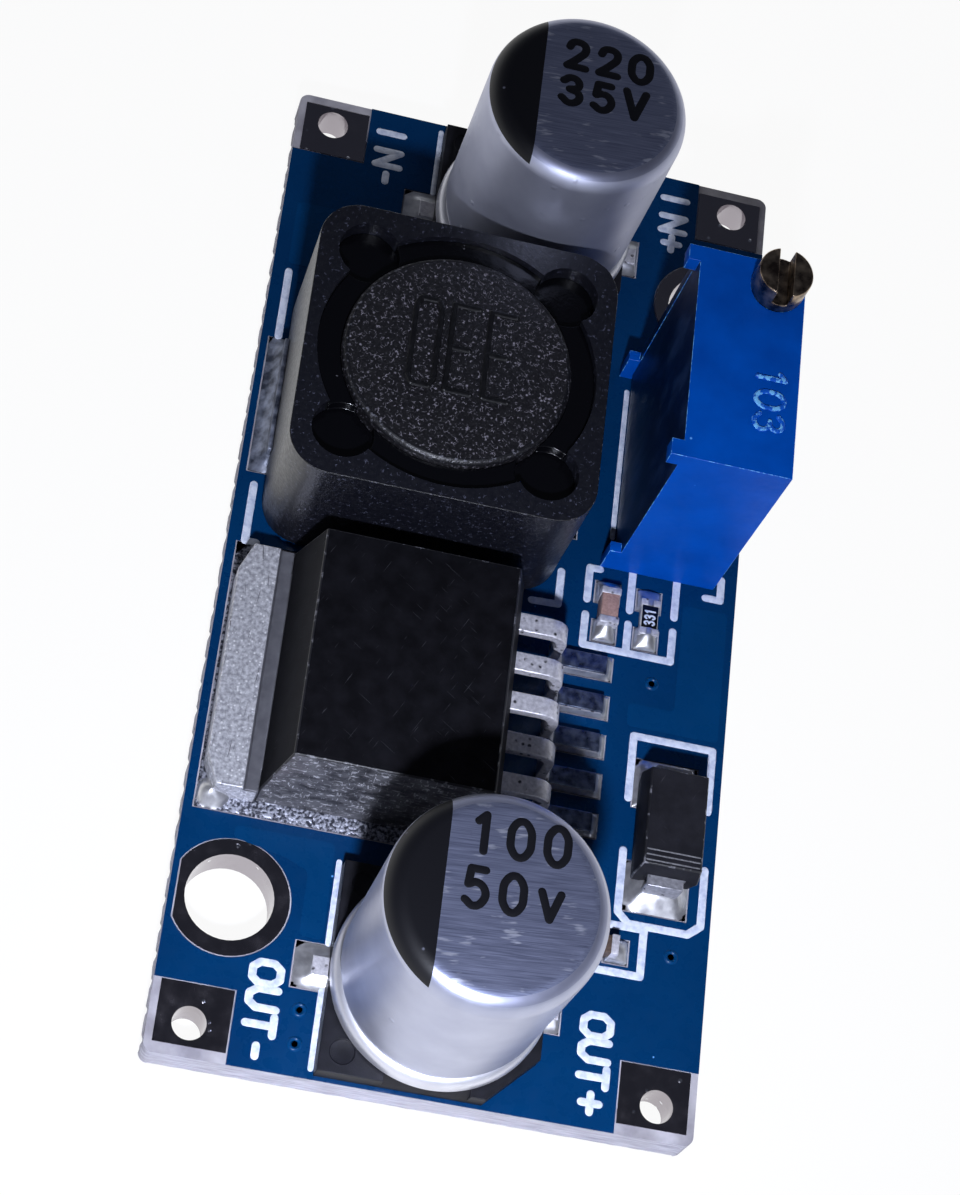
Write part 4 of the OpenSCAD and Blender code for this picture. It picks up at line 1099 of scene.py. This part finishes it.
def trimmer_figures():
    """Value figures raised on the trimmer's top, read along the board, in the light blue that paints their
    highlight.
    """
    low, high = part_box("trimmer_housing")
    size, pitch = 1.15 * MM, 1.0 * MM
    stroke, rise = 0.2 * MM, 0.09 * MM
    edge_x, start_y = 0.55 * MM, 4.6 * MM
    drawn = strokes_mesh(lettering("103", size, pitch), stroke, rise)
    place = (high.x - edge_x - size, low.y + start_y, high.z)
    return laid_at(drawn, place, (0, -1, 0), (1, 0, 0))


piece("trimmer_figures", trimmer_figures(), [WORN_HIGHLIT_BLUE])


# Solder

LANDS = [box for box in solids_of("component_lands") if box[1].z > MM]
SOLDER_CELLS = 20
SOLDER_SINK = 0.02 * MM
SOLDER_FILM = 0.03 * MM
SOLDER_LUMP = 0.3 * MM
SOLDER_UNEVEN = 0.03
# Forms of a mound: the power of its curve, and how far it falls to the sides
HOLLOW = (2.0, 0.35)
STRAIGHT = (1.0, 0.35)
BULGED = (0.5, 0.8)
LEAD_CLIMB = 0.3 * MM
STRIP_CLIMB = 0.12 * MM
DROP_CLIMB = 0.6 * MM
DROP_SIZE = 1.3 * MM
DROP_PEAK = Vector((0.4, 0.05, 0)) * MM
PIN_R = 0.27 * MM
PIN_STEPS = 32


def solder_mound(land, foot, climb, form):
    """Solder that covers a land and climbs to a foot, in one of the forms above."""
    curve, fall = form
    bm = bmesh.new()
    bmesh.ops.create_grid(bm, x_segments=SOLDER_CELLS, y_segments=SOLDER_CELLS, size=0.5)
    low, high = land
    runs = [max(foot[0][i] - low[i], high[i] - foot[1][i]) for i in range(2)]
    across = runs.index(min(runs))
    for vert in bm.verts:
        spot = [low[i] + (high[i] - low[i]) * (vert.co[i] + 0.5) for i in range(2)]
        crown = 1 - fall * (2 * vert.co[across]) ** 2
        past = 0.0
        for i in range(2):
            before = (foot[0][i] - spot[i]) / max(foot[0][i] - low[i], MERGE)
            beyond = (spot[i] - foot[1][i]) / max(high[i] - foot[1][i], MERGE)
            past += max(before, beyond, 0.0) ** 2
        rise = max(0.0, 1 - math.sqrt(past)) ** curve
        ripple = 0.5 + 0.5 * noise.noise(Vector((*spot, 0)) / SOLDER_LUMP)
        wet = climb * rise + SOLDER_FILM * rise ** 0.5
        vert.co = (*spot, high.z + wet * crown * (1 - SOLDER_UNEVEN * (1 - ripple)))
    rim = [e for e in bm.edges if e.is_boundary]
    skirt = bmesh.ops.extrude_edge_only(bm, edges=rim)["geom"]
    for vert in (g for g in skirt if isinstance(g, bmesh.types.BMVert)):
        vert.co.z = high.z - SOLDER_SINK
    bmesh.ops.holes_fill(bm, edges=[e for e in bm.edges if e.is_boundary])
    bmesh.ops.recalc_face_normals(bm, faces=bm.faces)
    return bm


def land_under(foot):
    """The land that lies most under a foot, seen from above."""
    def shared(land):
        spans = [min(land[1][i], foot[1][i]) - max(land[0][i], foot[0][i]) for i in range(2)]
        return max(spans[0], 0) * max(spans[1], 0)
    return max(LANDS, key=shared)


def converter_joints():
    """Solder in a drop at the tab's front corner and under each lead's foot."""
    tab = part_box("converter_tab")
    low, high = land_under(tab)
    drop = (low, Vector((low.x + DROP_SIZE, low.y + DROP_SIZE, high.z)))
    peak = tab[0] + DROP_PEAK
    mounds = [solder_mound(drop, (peak, peak), DROP_CLIMB, BULGED)]
    for lead in solids_of("converter_leads"):
        land = land_under(lead)
        foot = (Vector((land[0].x, lead[0].y, 0)), lead[1])
        mounds.append(solder_mound(land, foot, LEAD_CLIMB, HOLLOW))
    return mounds


def reflowed_strip():
    """Solder that melted over the converter's land, round its tab and its body."""
    tab_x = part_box("converter_tab")[0].x
    body_low, body_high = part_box("converter_body")
    low, high = land_under((body_low, body_high))
    foot = (Vector((tab_x, body_low.y, 0)), Vector((high.x, body_high.y, 0)))
    return solder_mound((low, high), foot, STRIP_CLIMB, HOLLOW)


def pin_joints():
    """Solder cones round the trimmer's pins, under the board."""
    turns = [math.radians(a) for a in range(0, 91, 10)]
    cones = []
    for low, high in solids_of("trimmer_solder"):
        axis = middle((low, high))
        r = (high.x - low.x) / 2
        hollow = [(PIN_R + (r - PIN_R) * (1 - math.sin(a)), low.z * (1 - math.cos(a))) for a in turns]
        cones.append(turned([(0, SOLDER_SINK)] + hollow + [(0, low.z)], axis, PIN_STEPS))
    return cones


# Joints on plain feet: the finish, the form, and how high the solder climbs at each node, in millimetres
JOINTS = {
    "capacitor": (SOLDER, HOLLOW, {"input_cap_leads": 0.22, "output_cap_leads": 0.22}),
    "inductor": (FLUXED, HOLLOW, {"inductor_clips": 0.7}),
    "diode": (SOLDER, STRAIGHT, {"diode_leads": 0.5}),
    "chip": (SOLDER, BULGED,
             {"chip_capacitor_ends": 0.5, "side_capacitor_ends": 0.5, "chip_resistor_ends": 0.45}),
}
for part, (finish, form, climbs) in JOINTS.items():
    mounds = [solder_mound(land_under(foot), foot, climb * MM, form)
              for node, climb in climbs.items() for foot in solids_of(node)]
    piece(part + "_joints", joined(mounds), [finish], [part + "_solder"])
piece("converter_joints", joined(converter_joints()), [SOLDER], ["converter_solder"])
piece("reflowed_strip", reflowed_strip(), [REFLOWED])
piece("pin_joints", joined(pin_joints()), [SOLDER], ["trimmer_solder"])


# Studio

PIN_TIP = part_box("trimmer_pins")[0]
FLOOR_SIZE = 8.0
FLOOR_WHITE = 0.94
PAPER = (0.86, 0.87, 0.9, 1)
WALL, WALL_HEIGHT = (0.62, 0.66, 0.73, 1), 0.06
CEILING, CEILING_HEIGHT = (0.036, 0.04, 0.054, 1), 0.3

CAMERA_AT = Vector((-19.1304, -53.5512, 105.0611)) * MM
CAMERA_FORWARD = Vector((0.16153, 0.44946, -0.87857))
CAMERA_UP = Vector((-0.19974, 0.88673, 0.41691))
CAMERA_LENS = 88.41
NEAREST = 0.01

KEY_AT = Vector((-8, -69, 75)) * MM
KEY_AIM = Vector((-1, -20, 0)) * MM
KEY_SIZE = 6 * MM
KEY_POWER = 0.0175
KEY_SPREAD = math.radians(62)
KEY_COLOUR = (0.79, 0.84, 1.0)

FILLS = (("fill_right", Vector((120, 110, 60)) * MM), ("fill_left", Vector((-120, 110, 60)) * MM))
FILL_SIZE = 120 * MM
FILL_POWER = 0.05


def floor_material():
    """A white floor that the camera and reflections see near full white, with the shadow left in."""
    made = Finish("floor")
    path = made.node("LightPath").outputs
    seen = made.either(path["Is Camera Ray"], path["Is Glossy Ray"])
    white = made.both(made.either(seen, path["Is Transmission Ray"]), FLOOR_WHITE)
    paper = made.node("BsdfDiffuse")
    paper.inputs["Color"].default_value = PAPER
    glow = made.node("Emission")
    shown = made.node("MixShader", {0: white, 1: paper.outputs[0], 2: glow.outputs[0]})
    made.feed(made.tree.nodes["Material Output"].inputs["Surface"], shown.outputs[0])
    made.tree.nodes.remove(made.shader)
    return made.material


def floor():
    """The floor leans as the board does when it lies on its left edge and the trimmer's pins."""
    bm = bmesh.new()
    bmesh.ops.create_grid(bm, x_segments=8, y_segments=8, size=FLOOR_SIZE)
    run = PIN_TIP.x - cad_box[0][0]
    lean = math.atan2(-PIN_TIP.z, run)
    edge = Vector((cad_box[0][0], 0, 0))
    turn = Matrix.Translation(edge) @ Matrix.Rotation(lean, 4, "Y") @ Matrix.Translation(-edge)
    bmesh.ops.transform(bm, matrix=turn, verts=bm.verts)
    mesh = bpy.data.meshes.new("floor")
    bm.to_mesh(mesh)
    bm.free()
    mesh.materials.append(floor_material())
    obj = bpy.data.objects.new("floor", mesh)
    bpy.context.scene.collection.objects.link(obj)


def sky():
    """A studio with white walls all round and a dim ceiling."""
    world = bpy.data.worlds.new("studio")
    bpy.context.scene.world = world
    world.use_nodes = True
    tree = world.node_tree
    nodes, link = tree.nodes, tree.links.new
    way = nodes.new("ShaderNodeTexCoord")
    split = nodes.new("ShaderNodeSeparateXYZ")
    ramp = nodes.new("ShaderNodeValToRGB")
    link(way.outputs["Generated"], split.inputs[0])
    link(split.outputs["Z"], ramp.inputs[0])
    link(ramp.outputs[0], nodes["Background"].inputs["Color"])
    wall, ceiling = ramp.color_ramp.elements
    wall.position, wall.color = WALL_HEIGHT, WALL
    ceiling.position, ceiling.color = CEILING_HEIGHT, CEILING
    nodes["Background"].inputs["Strength"].default_value = 1.0


def lamp(name, at, aim, size, power):
    """A round soft light, turned to what it lights."""
    data = bpy.data.lights.new(name, "AREA")
    data.shape = "DISK"
    data.size = size
    data.energy = power
    obj = bpy.data.objects.new(name, data)
    obj.location = at
    obj.rotation_euler = (at - aim).to_track_quat("Z", "Y").to_euler()
    bpy.context.scene.collection.objects.link(obj)
    return obj


def lights():
    """A small key light in front, and two large panels behind that the metal doesn't mirror."""
    key = lamp("key", KEY_AT, KEY_AIM, KEY_SIZE, KEY_POWER)
    key.data.spread = KEY_SPREAD
    key.data.color = KEY_COLOUR
    for name, at in FILLS:
        lamp(name, at, Vector(), FILL_SIZE, FILL_POWER).visible_glossy = False


def camera():
    """The camera that took the photo, as fitted to the board and the trimmer."""
    data = bpy.data.cameras.new("camera")
    data.lens = CAMERA_LENS
    data.clip_start = NEAREST
    back = -CAMERA_FORWARD
    right = CAMERA_UP.cross(back)
    obj = bpy.data.objects.new("camera", data)
    turn = Matrix((right, CAMERA_UP, back)).transposed().to_4x4()
    obj.matrix_world = Matrix.Translation(CAMERA_AT) @ turn
    bpy.context.scene.collection.objects.link(obj)
    bpy.context.scene.camera = obj


floor()
sky()
lights()
camera()
bpy.context.scene.view_settings.view_transform = "Standard"
